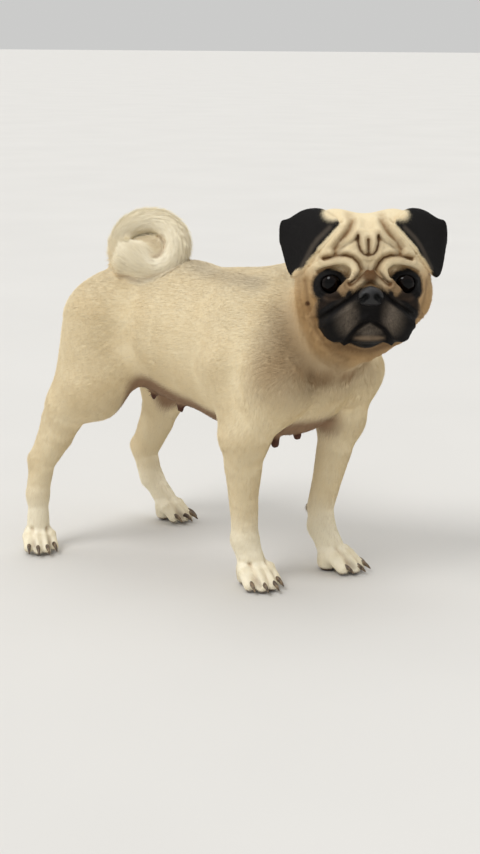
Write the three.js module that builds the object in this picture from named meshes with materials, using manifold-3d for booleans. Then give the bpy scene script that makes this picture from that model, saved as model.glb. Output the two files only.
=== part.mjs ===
// A pug, standing with its feet apart and its head turned to its right, life size.
// Millimetres. The animal's own axes: +X forward, +Y its left, +Z up, soles on Z = 0.
// The flesh is one blended clay: round cones and ellipsoids along named joints, polygonised,
// simplified and parted with thin cuts. Ears, tail, claws, eyes and nose are shaped on their own.

import * as THREE from "three";
import Module from "manifold-3d";
import { mergeVertices } from "three/addons/utils/BufferGeometryUtils.js";
import { edgeTable, triTable } from "three/addons/objects/MarchingCubes.js";

const wasm = await Module();
wasm.setup();

// Gap that touching pieces keep
const GAP = 0.3;

// Spacing of the grid that the clay is read on, and triangles kept
const BODY_STEP = 3.6;
const HEAD_STEP = 1.8;
const PAW_STEP = 2.1;
const TAIL_STEP = 2.6;
const BODY_TRIANGLES = 4300;
const HEAD_TRIANGLES = 3900;
const PAW_TRIANGLES = 470;
const TAIL_TRIANGLES = 240;

// Driving heights and half widths of the body
const WITHERS = 296;
const CROUP = 286;
const CHEST_FLOOR = 137;
const BELLY_FLOOR = 155;
const CHEST_HALF = 70;
const LOIN_HALF = 61;
const RUMP_HALF = 56;
const SHOULDER_HALF = 57;
const HIP_HALF = 40;

// Head: centre of the skull, turn to the right and lift
const HEAD_CENTRE = [158, 13, 294.5];
const HEAD_TURN = -54;
const HEAD_LIFT = 4;
const EYE = { x: 45, y: 32, z: 0, radius: 11 };
const NOSE = { x: 78, z: -8, half: [9.5, 11.8, 9.6] };
const EAR_THICK = 3;

// Tail: a curl over the right of the croup
const CURL_CENTRE = [-76, 0, 301];
const CURL_RADIUS = 31;
const CURL_WIDER = 1.13;
const CURL_TURN = 15;
const TAIL_THICK = 12.5;

const degrees = Math.PI / 180;
const size = (x, y, z) => Math.sqrt(x * x + y * y + z * z);
const lerp = THREE.MathUtils.lerp;
const smoothstep = THREE.MathUtils.smoothstep;
const everywhere = () => 1;

// Distance fields. Each is a function of x, y, z that is negative inside.

function ball(centre, radius) {
  return (x, y, z) => size(x - centre[0], y - centre[1], z - centre[2]) - radius;
}

function ellipsoid(centre, half) {
  return (x, y, z) => {
    const u = (x - centre[0]) / half[0];
    const v = (y - centre[1]) / half[1];
    const w = (z - centre[2]) / half[2];
    const outer = size(u, v, w);
    const slope = size(u / half[0], v / half[1], w / half[2]);
    return slope < 1e-9 ? -Math.min(...half) : (outer * (outer - 1)) / slope;
  };
}

// A cone with round ends, from a to b
function cone(a, b, radiusA, radiusB) {
  const axis = [b[0] - a[0], b[1] - a[1], b[2] - a[2]];
  const square = axis[0] ** 2 + axis[1] ** 2 + axis[2] ** 2;
  return (x, y, z) => {
    const along = (x - a[0]) * axis[0] + (y - a[1]) * axis[1] + (z - a[2]) * axis[2];
    const t = Math.min(1, Math.max(0, along / square));
    const gapX = x - a[0] - t * axis[0];
    const gapY = y - a[1] - t * axis[1];
    const gapZ = z - a[2] - t * axis[2];
    return size(gapX, gapY, gapZ) - radiusA - t * (radiusB - radiusA);
  };
}

// Round cones one after another: each stop is [x, y, z, radius]
function chain(stops) {
  const links = stops.slice(1).map((stop, i) => cone(stops[i], stop, stops[i][3], stop[3]));
  return (x, y, z) => {
    let least = Infinity;
    for (const link of links) least = Math.min(least, link(x, y, z));
    return least;
  };
}

function mirrored(field) {
  return (x, y, z) => field(x, -y, z);
}

function softMin(a, b, blend) {
  const near = Math.max(blend - Math.abs(a - b), 0) / blend;
  return Math.min(a, b) - near * near * blend * 0.25;
}

// Lumps added to, or carved from, one clay in order, each with its own width of blend
class Clay {
  constructor() {
    this.steps = [];
  }

  add(field, blend) {
    this.steps.push({ field, blend, sign: 1 });
    return this;
  }

  carve(field, blend) {
    this.steps.push({ field, blend, sign: -1 });
    return this;
  }

  addPair(field, blend) {
    return this.add(field, blend).add(mirrored(field), blend);
  }

  carvePair(field, blend) {
    return this.carve(field, blend).carve(mirrored(field), blend);
  }

  field() {
    const steps = this.steps;
    return (x, y, z) => {
      let value = 1e3;
      for (const step of steps) {
        const d = step.field(x, y, z);
        value = step.sign > 0 ? softMin(value, d, step.blend) : -softMin(-value, d, step.blend);
      }
      return value;
    };
  }
}

// The field of a clay that was shaped in a turned frame
function placed(field, matrix) {
  const m = matrix.clone().invert().elements;
  return (x, y, z) =>
    field(
      m[0] * x + m[4] * y + m[8] * z + m[12],
      m[1] * x + m[5] * y + m[9] * z + m[13],
      m[2] * x + m[6] * y + m[10] * z + m[14],
    );
}

// Meshes while they are worked on: points is a list of [x, y, z], faces one of [a, b, c]

// Moves a point that lies close to the surface onto it
function settle(field, p) {
  const h = 0.02;
  const here = field(...p);
  const slope = [
    (field(p[0] + h, p[1], p[2]) - here) / h,
    (field(p[0], p[1] + h, p[2]) - here) / h,
    (field(p[0], p[1], p[2] + h) - here) / h,
  ];
  const square = dot(slope, slope);
  if (square < 0.1) return p;
  return minus(p, times(slope, here / square));
}

// Corners of a grid cell, and the two corners that each of its edges joins
const CORNERS = [
  [0, 0, 0],
  [1, 0, 0],
  [1, 1, 0],
  [0, 1, 0],
  [0, 0, 1],
  [1, 0, 1],
  [1, 1, 1],
  [0, 1, 1],
];
const EDGES = [0, 1, 2, 3, 4, 5, 6, 7, 8, 9, 10, 11].map((edge) => {
  if (edge >= 8) return [edge - 8, edge - 4];
  const ring = edge < 4 ? 0 : 4;
  return [edge, ring + ((edge + 1) % 4)];
});

// Marching cubes over the box from low to high. The outermost grid values count as outside, so that
// the surface is closed.
function polygonise(field, low, high, step) {
  const count = low.map((value, axis) => Math.ceil((high[axis] - value) / step) + 1);
  const index = (i, j, k) => (k * count[1] + j) * count[0] + i;
  const values = new Float32Array(count[0] * count[1] * count[2]);
  const valueAt = (i, j, k) => field(low[0] + i * step, low[1] + j * step, low[2] + k * step);
  const isRim = (at, axis) => at === 0 || at === count[axis] - 1;
  const block = 5;
  const reach = 1.6 * block * step;
  for (let k0 = 0; k0 < count[2]; k0 += block) {
    for (let j0 = 0; j0 < count[1]; j0 += block) {
      for (let i0 = 0; i0 < count[0]; i0 += block) {
        const middle = valueAt(i0 + block / 2, j0 + block / 2, k0 + block / 2);
        for (let k = k0; k < Math.min(k0 + block, count[2]); k += 1) {
          for (let j = j0; j < Math.min(j0 + block, count[1]); j += 1) {
            for (let i = i0; i < Math.min(i0 + block, count[0]); i += 1) {
              const d = Math.abs(middle) > reach ? middle : valueAt(i, j, k);
              const rim = isRim(i, 0) || isRim(j, 1) || isRim(k, 2);
              values[index(i, j, k)] = rim ? Math.max(d, 0.3 * step) : d;
            }
          }
        }
      }
    }
  }
  const points = [];
  const faces = [];
  const made = new Map();
  const pointOn = (cell, edge) => {
    const [a, b] = EDGES[edge].map((corner) => cell.map((at, axis) => at + CORNERS[corner][axis]));
    const ia = index(...a);
    const ib = index(...b);
    const key = Math.min(ia, ib) * 4 + a.findIndex((at, axis) => at !== b[axis]);
    if (!made.has(key)) {
      const t = THREE.MathUtils.clamp(values[ia] / (values[ia] - values[ib]), 0.02, 0.98);
      const p = a.map((at, axis) => low[axis] + (at + t * (b[axis] - at)) * step);
      const inside = p.every((v, axis) => v > low[axis] + step && v < high[axis] - step);
      made.set(key, points.length);
      points.push(inside ? settle(field, p) : p);
    }
    return made.get(key);
  };
  for (let k = 0; k < count[2] - 1; k += 1) {
    for (let j = 0; j < count[1] - 1; j += 1) {
      for (let i = 0; i < count[0] - 1; i += 1) {
        let pattern = 0;
        for (let corner = 0; corner < 8; corner += 1) {
          const [di, dj, dk] = CORNERS[corner];
          if (values[index(i + di, j + dj, k + dk)] < 0) pattern |= 1 << corner;
        }
        if (edgeTable[pattern] === 0) continue;
        for (let at = pattern * 16; triTable[at] !== -1; at += 3) {
          const face = [triTable[at], triTable[at + 2], triTable[at + 1]];
          faces.push(face.map((edge) => pointOn([i, j, k], edge)));
        }
      }
    }
  }
  return { points, faces };
}

const minus = (a, b) => [a[0] - b[0], a[1] - b[1], a[2] - b[2]];
const plus = (a, b) => [a[0] + b[0], a[1] + b[1], a[2] + b[2]];
const times = (a, s) => [a[0] * s, a[1] * s, a[2] * s];
const dot = (a, b) => a[0] * b[0] + a[1] * b[1] + a[2] * b[2];
const cross = (a, b) => [
  a[1] * b[2] - a[2] * b[1],
  a[2] * b[0] - a[0] * b[2],
  a[0] * b[1] - a[1] * b[0],
];
const unit = (a) => times(a, 1 / (size(...a) || 1));

// Evens out the triangles: each point slides toward the middle of its neighbours, and back onto the
// surface along its normal
function relax(mesh, field, rounds, isFree) {
  const { points, faces } = mesh;
  const free = points.map(isFree);
  for (let round = 0; round < rounds; round += 1) {
    const sums = points.map(() => [0, 0, 0]);
    const normals = points.map(() => [0, 0, 0]);
    const counts = new Int32Array(points.length);
    for (const face of faces) {
      const [a, b, c] = face.map((v) => points[v]);
      const normal = cross(minus(b, a), minus(c, a));
      face.forEach((v, i) => {
        const next = points[face[(i + 1) % 3]];
        for (let axis = 0; axis < 3; axis += 1) {
          sums[v][axis] += next[axis];
          normals[v][axis] += normal[axis];
        }
        counts[v] += 1;
      });
    }
    points.forEach((p, v) => {
      if (!free[v]) return;
      const normal = unit(normals[v]);
      const pull = minus(times(sums[v], 1 / counts[v]), p);
      const slide = minus(pull, times(normal, dot(pull, normal)));
      const moved = plus(p, times(slide, 0.6));
      const height = Math.max(-0.5, Math.min(0.5, field(...moved)));
      points[v] = minus(moved, times(normal, height));
    });
  }
  return mesh;
}

// Twice the area of a triangle over the square of its longest side
function plumpness([a, b, c]) {
  const longest = Math.max(...[minus(b, a), minus(c, b), minus(a, c)].map((side) => dot(side, side)));
  return size(...cross(minus(b, a), minus(c, a))) / longest;
}

// A queue that gives back its cheapest entry first
class Queue {
  constructor() {
    this.heap = [];
  }

  push(entry) {
    const heap = this.heap;
    let at = heap.push(entry) - 1;
    while (at > 0) {
      const up = (at - 1) >> 1;
      if (heap[up].cost <= heap[at].cost) break;
      [heap[up], heap[at]] = [heap[at], heap[up]];
      at = up;
    }
  }

  pop() {
    const heap = this.heap;
    const top = heap[0];
    const last = heap.pop();
    if (heap.length === 0) return top;
    heap[0] = last;
    let at = 0;
    for (;;) {
      let least = at;
      for (const down of [2 * at + 1, 2 * at + 2]) {
        if (down < heap.length && heap[down].cost < heap[least].cost) least = down;
      }
      if (least === at) return top;
      [heap[least], heap[at]] = [heap[at], heap[least]];
      at = least;
    }
  }
}

// Collapses edges in order of the error this makes, until a closed mesh has the wanted number of
// triangles. An edge is kept where its loss would fold or pinch the surface.
function simplify(mesh, wanted, careAt) {
  const points = mesh.points;
  const faces = mesh.faces.map((face) => [...face]);
  const alive = faces.map(() => true);
  const fans = points.map(() => new Set());
  const errors = points.map(() => new Float64Array(10));
  const stamps = new Int32Array(points.length);
  let left = faces.length;

  faces.forEach((face, f) => {
    const [a, b, c] = face.map((v) => points[v]);
    const normal = cross(minus(b, a), minus(c, a));
    const area = size(...normal) / 2;
    const [nx, ny, nz] = unit(normal);
    const d = -dot([nx, ny, nz], a);
    const weight = area * careAt(a);
    const terms = [nx * nx, nx * ny, nx * nz, nx * d, ny * ny, ny * nz, ny * d, nz * nz, nz * d, d * d];
    for (const v of face) {
      fans[v].add(f);
      terms.forEach((term, i) => {
        errors[v][i] += term * weight;
      });
    }
  });

  const errorAt = (q, [x, y, z]) =>
    q[0] * x * x + 2 * q[1] * x * y + 2 * q[2] * x * z + 2 * q[3] * x + q[4] * y * y +
    2 * q[5] * y * z + 2 * q[6] * y + q[7] * z * z + 2 * q[8] * z + q[9];

  const bestPoint = (q, a, b) => {
    const middle = times(plus(a, b), 0.5);
    const rowX = [q[0], q[1], q[2]];
    const rowY = [q[1], q[4], q[5]];
    const rowZ = [q[2], q[5], q[7]];
    const volume = dot(rowX, cross(rowY, rowZ));
    const scale = Math.abs(q[0]) + Math.abs(q[4]) + Math.abs(q[7]);
    if (Math.abs(volume) > 1e-4 * scale ** 3) {
      const right = [-q[3], -q[6], -q[8]];
      const p = [
        dot(right, cross(rowY, rowZ)) / volume,
        dot(rowX, cross(right, rowZ)) / volume,
        dot(rowX, cross(rowY, right)) / volume,
      ];
      if (size(...minus(p, middle)) < 1.2 * size(...minus(a, b))) return p;
    }
    return [a, b, middle].reduce((best, p) => (errorAt(q, p) < errorAt(q, best) ? p : best), middle);
  };

  const queue = new Queue();
  const offer = (u, v) => {
    const q = errors[u].map((value, i) => value + errors[v][i]);
    const p = bestPoint(q, points[u], points[v]);
    const length = size(...minus(points[u], points[v]));
    const cost = errorAt(q, p) + 1e-4 * length * length;
    queue.push({ cost, u, v, p, stampU: stamps[u], stampV: stamps[v] });
  };
  const neighbours = (v) => new Set([...fans[v]].flatMap((f) => faces[f]).filter((w) => w !== v));

  const staysGood = (v, other, p) => {
    for (const f of fans[v]) {
      if (faces[f].includes(other)) continue;
      const before = faces[f].map((w) => points[w]);
      const after = faces[f].map((w) => (w === v ? p : points[w]));
      const oldNormal = cross(minus(before[1], before[0]), minus(before[2], before[0]));
      const newNormal = cross(minus(after[1], after[0]), minus(after[2], after[0]));
      if (dot(unit(oldNormal), unit(newNormal)) < 0.35) return false;
      if (plumpness(after) < Math.min(0.12, plumpness(before))) return false;
    }
    return true;
  };

  faces.forEach(([a, b, c]) => {
    for (const [u, v] of [[a, b], [b, c], [c, a]]) {
      if (u < v) offer(u, v);
    }
  });
  while (left > wanted && queue.heap.length > 0) {
    const { u, v, p, stampU, stampV } = queue.pop();
    if (stamps[u] !== stampU || stamps[v] !== stampV) continue;
    const around = neighbours(u);
    const shared = [...neighbours(v)].filter((w) => around.has(w));
    if (shared.length !== 2) continue;
    if (!staysGood(u, v, p) || !staysGood(v, u, p)) continue;
    for (const f of fans[v]) {
      if (faces[f].includes(u)) {
        alive[f] = false;
        left -= 1;
        for (const w of faces[f]) {
          if (w !== v) fans[w].delete(f);
        }
      } else {
        faces[f] = faces[f].map((w) => (w === v ? u : w));
        fans[u].add(f);
      }
    }
    fans[v].clear();
    points[u] = p;
    errors[u] = errors[u].map((value, i) => value + errors[v][i]);
    stamps[u] += 1;
    stamps[v] += 1;
    for (const w of neighbours(u)) offer(u, w);
  }
  return { points, faces: faces.filter((_, f) => alive[f]) };
}

// Solids

function solidOf(mesh) {
  const geometry = new THREE.BufferGeometry();
  geometry.setAttribute("position", new THREE.Float32BufferAttribute(mesh.points.flat(), 3));
  geometry.setIndex(mesh.faces.flat());
  return solidFrom(geometry);
}

function solidFrom(geometry) {
  const plain = geometry.clone();
  plain.deleteAttribute("normal");
  plain.deleteAttribute("uv");
  const merged = mergeVertices(plain, 1e-4);
  const mesh = new wasm.Mesh({
    numProp: 3,
    vertProperties: new Float32Array(merged.attributes.position.array),
    triVerts: new Uint32Array(merged.index.array),
  });
  return new wasm.Manifold(mesh);
}

function geometryOf(solid) {
  const mesh = solid.getMesh();
  const geometry = new THREE.BufferGeometry();
  geometry.setAttribute("position", new THREE.BufferAttribute(mesh.vertProperties.slice(), 3));
  geometry.setIndex(new THREE.BufferAttribute(mesh.triVerts.slice(), 1));
  return geometry;
}

function largest(solid) {
  return solid.decompose().reduce((best, piece) => (piece.volume() > best.volume() ? piece : best));
}

// Everything on the side of a plane that its normal points to, from `shift` along the normal
function halfSpace(point, normal, shift) {
  const reach = 900;
  const n = new THREE.Vector3(...normal).normalize();
  const box = new THREE.BoxGeometry(reach, reach, reach);
  box.translate(0, 0, reach / 2 + shift);
  box.applyQuaternion(new THREE.Quaternion().setFromUnitVectors(new THREE.Vector3(0, 0, 1), n));
  box.translate(...point);
  return solidFrom(box);
}

// Both sides of a solid cut by a plane, half a gap off it each
function part(solid, point, normal) {
  const flipped = normal.map((v) => -v);
  return [
    solid.intersect(halfSpace(point, normal, GAP / 2)),
    solid.intersect(halfSpace(point, flipped, GAP / 2)),
  ];
}

function boxSolid(low, high) {
  const sides = high.map((v, axis) => v - low[axis]);
  const box = new THREE.BoxGeometry(...sides);
  box.translate(...low.map((v, axis) => v + sides[axis] / 2));
  return solidFrom(box);
}

// A closed tube of rings of `sides` points, with flat or pointed ends
function tube(rings, sides) {
  const points = [];
  const faces = [];
  for (const ring of rings) {
    for (let s = 0; s < sides; s += 1) {
      const angle = (2 * Math.PI * s) / sides;
      const across = plus(
        times(ring.side, Math.cos(angle) * ring.radius),
        times(ring.up, Math.sin(angle) * ring.radius),
      );
      points.push(plus(ring.centre, across));
    }
  }
  for (let r = 0; r < rings.length - 1; r += 1) {
    for (let s = 0; s < sides; s += 1) {
      const a = r * sides + s;
      const b = r * sides + ((s + 1) % sides);
      faces.push([a, b, b + sides], [a, b + sides, a + sides]);
    }
  }
  const first = points.push(rings[0].centre) - 1;
  const last = points.push(rings[rings.length - 1].centre) - 1;
  const end = (rings.length - 1) * sides;
  for (let s = 0; s < sides; s += 1) {
    const next = (s + 1) % sides;
    faces.push([first, next, s], [last, end + s, end + next]);
  }
  return solidOf({ points, faces });
}

// The head's own frame, its face toward +X
const headMatrix = new THREE.Matrix4()
  .makeRotationZ(HEAD_TURN * degrees)
  .multiply(new THREE.Matrix4().makeRotationY(-HEAD_LIFT * degrees))
  .setPosition(...HEAD_CENTRE);

function torsoClay() {
  const clay = new Clay();
  const ribHeight = (WITHERS - CHEST_FLOOR) / 2;
  const ribCentre = CHEST_FLOOR + ribHeight;
  clay.add(ellipsoid([48, 0, ribCentre], [92, CHEST_HALF, ribHeight - 3]), 1);
  clay.add(ellipsoid([92, 3, 208], [52, 56, 62]), 26);
  clay.add(ellipsoid([-38, 0, 229], [92, LOIN_HALF, 59]), 24);
  clay.add(ellipsoid([-15, 0, BELLY_FLOOR + 31], [75, 40, 31]), 14);
  clay.add(ellipsoid([-103, 0, CROUP - 52], [51, RUMP_HALF, 52]), 24);
  clay.add(cone([20, 0, WITHERS - 48], [-110, 0, CROUP - 44], 44, 40), 16);
  return clay;
}

// Where a teat stands: on the underside of the trunk, found by walking down through the field
function underside(field, x, y) {
  let z = 215;
  while (field(x, y, z) < 0) z -= 0.5;
  return z;
}

function addTeats(clay) {
  const trunk = clay.field();
  const rows = [
    [84, 19, 5.2, 12],
    [34, 22, 3.6, 7],
    [-26, 21, 4.4, 9],
    [-60, 20, 3.6, 7],
    [-94, 18, 4.4, 9],
  ];
  for (const [x, y, radius, length] of rows) {
    const z = underside(trunk, x, y);
    clay.addPair(cone([x, y, z + 3], [x, y, z - length + radius], radius + 1, radius), 4);
  }
}

function neckClay(clay) {
  clay.add(cone([74, 4, 239], [136, 32, 282], 53, 45), 30);
  clay.add(cone([104, 2, 224], [138, 18, 256], 47, 38), 20);
}

// One fore limb: point of the shoulder, elbow, wrist and the pastern above its paw
function foreLimb(clay, side, limb) {
  const { point, elbow, mid, low, wrist, pastern } = limb;
  clay.add(cone([point[0] - 52, side * 34, 262], point, 22, 27), 22);
  clay.add(cone(point, elbow, 27, 21.5), 18);
  clay.add(cone([elbow[0] - 16, point[1], 214], elbow, 25, 19), 16);
  clay.add(chain([[...elbow, 21], [...mid, 18.5], [...low, 15.2], [...wrist, 14], [...pastern, 13.4]]), 10);
}

// One hind limb: hip, stifle, shank, hock and the metatarsus above its paw
function hindLimb(clay, side, limb) {
  const { stifle, shank, calf, hock, heel, metatarsus } = limb;
  clay.add(cone([-106, side * HIP_HALF, 236], [stifle[0] - 6, stifle[1], stifle[2] + 8], 41, 30), 22);
  clay.add(cone([-123, side * (HIP_HALF + 1), 212], [...shank.slice(0, 3)], 26, 20), 16);
  clay.add(cone([-84, side * (HIP_HALF + 4), 196], stifle, 26, 25), 18);
  clay.add(chain([[...stifle, 26], shank, calf, hock, metatarsus]), 9);
  clay.add(ball(heel, 7.5), 7);
}

// A paw of four toes. The sole is cut flat at Z = 0.
const TOES = [
  { across: -14.2, ahead: 7, radius: 7.2 },
  { across: -5.2, ahead: 15, radius: 7.8 },
  { across: 5.2, ahead: 15, radius: 7.8 },
  { across: 14.2, ahead: 7, radius: 7.2 },
];

// A point of a paw, in its own frame
function pawPoint(paw, forward, side, z) {
  const { centre, turn, grow } = paw;
  const ahead = [Math.cos(turn * degrees), Math.sin(turn * degrees), 0];
  const across = [-ahead[1], ahead[0], 0];
  return plus([centre[0], centre[1], z], plus(times(ahead, forward * grow), times(across, side * grow)));
}

function pawShaft(clay, paw) {
  clay.add(cone(paw.wrist.slice(0, 3), pawPoint(paw, -5, 0, 17), paw.wrist[3], 14.5 * paw.grow), 6);
}

function pawClay(clay, paw) {
  const { grow } = paw;
  const at = (forward, side, z) => pawPoint(paw, forward, side, z);
  clay.add(cone(at(-9, -5, 8), at(-9, 5, 8), 10 * grow, 10 * grow), 7);
  for (const toe of TOES) {
    const knuckle = at(toe.ahead - 6, toe.across * 0.92, 16);
    const tip = at(toe.ahead + 5, toe.across, 7);
    clay.add(cone(at(-8, toe.across * 0.55, 17), knuckle, 8, toe.radius * grow), 5);
    clay.add(cone(knuckle, tip, toe.radius * grow, toe.radius * grow * 0.96), 1.6);
  }
}

// A claw is a short bent horn that leaves the front of its toe and ends clear of the floor
function clawRings(paw, toe, grow, thicker) {
  const { centre, turn } = paw;
  const yaw = (turn + toe.across * 0.6) * degrees;
  const ahead = [Math.cos(yaw), Math.sin(yaw), 0];
  const axis = [Math.cos(turn * degrees), Math.sin(turn * degrees), 0];
  const across = [-axis[1], axis[0], 0];
  const offset = plus(times(axis, (toe.ahead + 7) * grow), times(across, toe.across * grow));
  const start = plus([centre[0], centre[1], 9.5], offset);
  const rings = [];
  for (let i = 0; i <= 3; i += 1) {
    const t = i / 3;
    const dip = -20 - 45 * t;
    const bend = times([0, 0, -1], 5 * t * t);
    const radius = lerp(2.5, 0.8, t * t) + thicker;
    const direction = unit(plus(times(ahead, Math.cos(dip * degrees)), [0, 0, Math.sin(dip * degrees)]));
    const side = unit(cross([0, 0, 1], direction));
    rings.push({
      centre: plus(plus(start, times(ahead, 9.5 * t)), bend),
      side,
      up: cross(direction, side),
      radius,
    });
  }
  return rings;
}

function clawSolid(paw, toe, thicker) {
  return tube(clawRings(paw, toe, paw.grow, thicker), 6);
}

function headClay() {
  const clay = new Clay();
  clay.add(ellipsoid([-4, 0, 9], [53, 52, 50]), 1);
  clay.add(ellipsoid([18, 0, 20], [35, 43, 37]), 14);
  clay.addPair(ball([-2, 27, 42], 22), 12);
  clay.addPair(ellipsoid([22, 31, 3], [27, 25, 28]), 12);
  clay.addPair(ball([9, 33, -15], 28.5), 14);
  clay.addPair(ball([18, 25, -42], 19), 12);
  clay.add(ball([0, 0, -48], 27), 14);
  clay.add(cone([8, 0, -46], [50, 0, -41], 21, 14), 8);
  clay.add(ellipsoid([51, 0, -13], [27, 27, 22]), 8);
  clay.addPair(ellipsoid([38, 31, -30], [21, 15.5, 20]), 9);
  // Chin, then the upper lips hanging over it
  clay.add(ellipsoid([53, 0, -42], [20, 18, 13.5]), 3);
  clay.addPair(ellipsoid([56, 21, -31], [23, 19.5, 19]), 4);
  // Roll of skin over the nose, running down to each cheek, and the crease under it
  clay.addPair(
    chain([
      [67, 0, 7.5, 6.4],
      [65.5, 11, 2.5, 6.4],
      [61, 22, -5, 6.4],
      [53, 33, -13.5, 6.4],
      [44, 42, -22, 6.4],
      [33, 48, -31, 5.5],
    ]),
    3,
  );
  clay.carvePair(
    chain([
      [80, 0, 2, 1.8],
      [73, 11, -5, 2.2],
      [69, 20, -12, 2.5],
      [62, 32, -21, 2.8],
      [51, 42, -31, 2.8],
      [39, 50, -39, 2.2],
    ]),
    3,
  );
  // Lids and brows, and the corner of skin outside each eye
  const eye = [EYE.x, EYE.y, EYE.z];
  clay.addPair(ball(eye, EYE.radius + 2.4), 4);
  clay.addPair(
    chain([
      [35, 51, 7, 4],
      [42, 45, 15, 4.5],
      [50, 34, 19.5, 4.8],
      [55, 22, 19, 4.8],
      [59, 12, 14, 4.6],
      [61, 8.5, 7, 4.4],
      [60, 12, 0, 3.6],
    ]),
    3,
  );
  clay.addPair(cone([50, 41, -11], [40, 49, -9], 4, 4), 6);
  clay.carvePair(ellipsoid([EYE.x + 11, EYE.y + 1, EYE.z - 0.5], [9, 10, 9]), 2);
  // Nose leather with comma nostrils, and the groove from it to the mouth
  clay.add(ellipsoid([NOSE.x, 0, NOSE.z], NOSE.half), 1.5);
  clay.carvePair(chain([[86.5, 5.2, -8.5, 2.7], [83.5, 8.6, -11.5, 1.8], [80, 11.5, -12.5, 1.2]]), 1);
  clay.carve(cone([89, 0, -13], [80, 0, -29], 1.2, 1.8), 1.5);
  // Line of the mouth
  clay.carvePair(
    chain([
      [78.5, 0, -29, 2.4],
      [77, 7, -34, 2.6],
      [74.5, 14, -41.5, 2.8],
      [67, 25, -49.5, 2.6],
      [52, 36, -49, 2.2],
    ]),
    1.5,
  );
  return clay;
}

// The ear leaves the skull along its root, rises to a crest and folds forward over its own cup.
// Points run from the hook at the front to the back.
const EAR_ROOT = [[18, 27, 46], [-2, 37, 48], [-18, 48, 33], [-6, 52, 12]];
const EAR_CREST = [[26, 28, 55], [11, 40, 60.5], [-4, 57, 58], [-9, 70, 50]];
const EAR_EDGE = [[34, 26, 47], [35, 44, 27], [22, 64, 5], [-4, 74.5, 33]];

function earSheet() {
  const curves = [EAR_ROOT, EAR_CREST, EAR_EDGE].map(
    (points) => new THREE.CatmullRomCurve3(points.map((p) => new THREE.Vector3(...p))),
  );
  const across = 10;
  const along = 8;
  const at = (u, v) => {
    const [root, crest, edge] = curves.map((curve) => curve.getPoint(u).toArray());
    const knee = minus(times(crest, 2), times(plus(root, edge), 0.5));
    const nearRoot = (1 - v) ** 2;
    const nearEdge = v ** 2;
    return plus(plus(times(root, nearRoot), times(knee, 2 * v * (1 - v))), times(edge, nearEdge));
  };
  const normal = (u, v) => {
    const h = 0.01;
    const du = minus(at(Math.min(1, u + h), v), at(Math.max(0, u - h), v));
    const dv = minus(at(u, Math.min(1, v + h)), at(u, Math.max(0, v - h)));
    return unit(cross(dv, du));
  };
  const points = [];
  for (const face of [1, -1]) {
    for (let i = 0; i <= across; i += 1) {
      for (let j = 0; j <= along; j += 1) {
        const u = i / across;
        const v = j / along;
        const rim = Math.min(1, 4 * Math.min(u, 1 - u, 1.2 * (1 - v)) + 0.45);
        points.push(plus(at(u, v), times(normal(u, v), (face * EAR_THICK * rim) / 2)));
      }
    }
  }
  const row = along + 1;
  const back = (across + 1) * row;
  const faces = [];
  const quad = (a, b, c, d) => faces.push([a, b, c], [a, c, d]);
  for (let i = 0; i < across; i += 1) {
    for (let j = 0; j < along; j += 1) {
      const a = i * row + j;
      quad(a, a + 1, a + row + 1, a + row);
      faces.push([back + a, back + a + row + 1, back + a + 1], [back + a, back + a + row, back + a + row + 1]);
    }
  }
  for (let i = 0; i < across; i += 1) {
    const a = i * row;
    quad(a + row, a + row + back, a + back, a);
    const b = i * row + along;
    quad(b, b + back, b + row + back, b + row);
  }
  for (let j = 0; j < along; j += 1) {
    quad(j, j + back, j + 1 + back, j + 1);
    const b = across * row + j;
    quad(b + 1, b + 1 + back, b + back, b);
  }
  return { points, faces };
}

function earMesh(side) {
  const { points, faces } = earSheet();
  const turned = points.map(([x, y, z]) => new THREE.Vector3(x, side * y, z).applyMatrix4(headMatrix).toArray());
  return { points: turned, faces: side > 0 ? faces : faces.map(([a, b, c]) => [a, c, b]) };
}

// The tail's middle line: it leaves the croup, rises, goes over and tucks its tip into the curl
function tailAt(t) {
  const angle = lerp(212, -170, t) * degrees;
  const radius = CURL_RADIUS * lerp(1, 0.3, smoothstep(t, 0.45, 0.85));
  const out = lerp(-2, 29, smoothstep(t, 0.3, 0.75));
  const turn = CURL_TURN * degrees;
  const flat = [Math.cos(turn), Math.sin(turn), 0];
  const axis = [Math.sin(turn), -Math.cos(turn), 0];
  const lift = 6 * smoothstep(t, 0.6, 0.85);
  const wide = CURL_WIDER * radius * Math.cos(angle);
  const inPlane = plus(times(flat, wide), [0, 0, radius * Math.sin(angle) + lift]);
  return plus(plus(CURL_CENTRE, inPlane), times(axis, out));
}

// The brush makes the last stretch thicker, up to its round tip
function tailThickness(t) {
  return TAIL_THICK * (1 + 0.3 * smoothstep(t, 0.6, 0.8) - 0.45 * smoothstep(t, 0.86, 1));
}

// One length of the tail from `from` to `to`, as a mesh with round ends
function tailMesh(from, to) {
  const stops = [];
  const steps = Math.round(30 * (to - from));
  for (let i = 0; i <= steps; i += 1) {
    const t = lerp(from, to, i / steps);
    stops.push([...tailAt(t), tailThickness(t)]);
  }
  const room = 2 * TAIL_THICK;
  const low = [0, 1, 2].map((axis) => Math.min(...stops.map((stop) => stop[axis])) - room);
  const high = [0, 1, 2].map((axis) => Math.max(...stops.map((stop) => stop[axis])) + room);
  const field = chain(stops);
  const dense = relax(polygonise(field, low, high, TAIL_STEP), field, 2, everywhere);
  return simplify(dense, TAIL_TRIANGLES, everywhere);
}

// The same mesh with every point moved out along its normal
function grown(mesh, amount) {
  const normals = mesh.points.map(() => [0, 0, 0]);
  for (const face of mesh.faces) {
    const [a, b, c] = face.map((v) => mesh.points[v]);
    const normal = cross(minus(b, a), minus(c, a));
    for (const v of face) normals[v] = plus(normals[v], normal);
  }
  return { points: mesh.points.map((p, v) => plus(p, times(unit(normals[v]), amount))), faces: mesh.faces };
}

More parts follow.
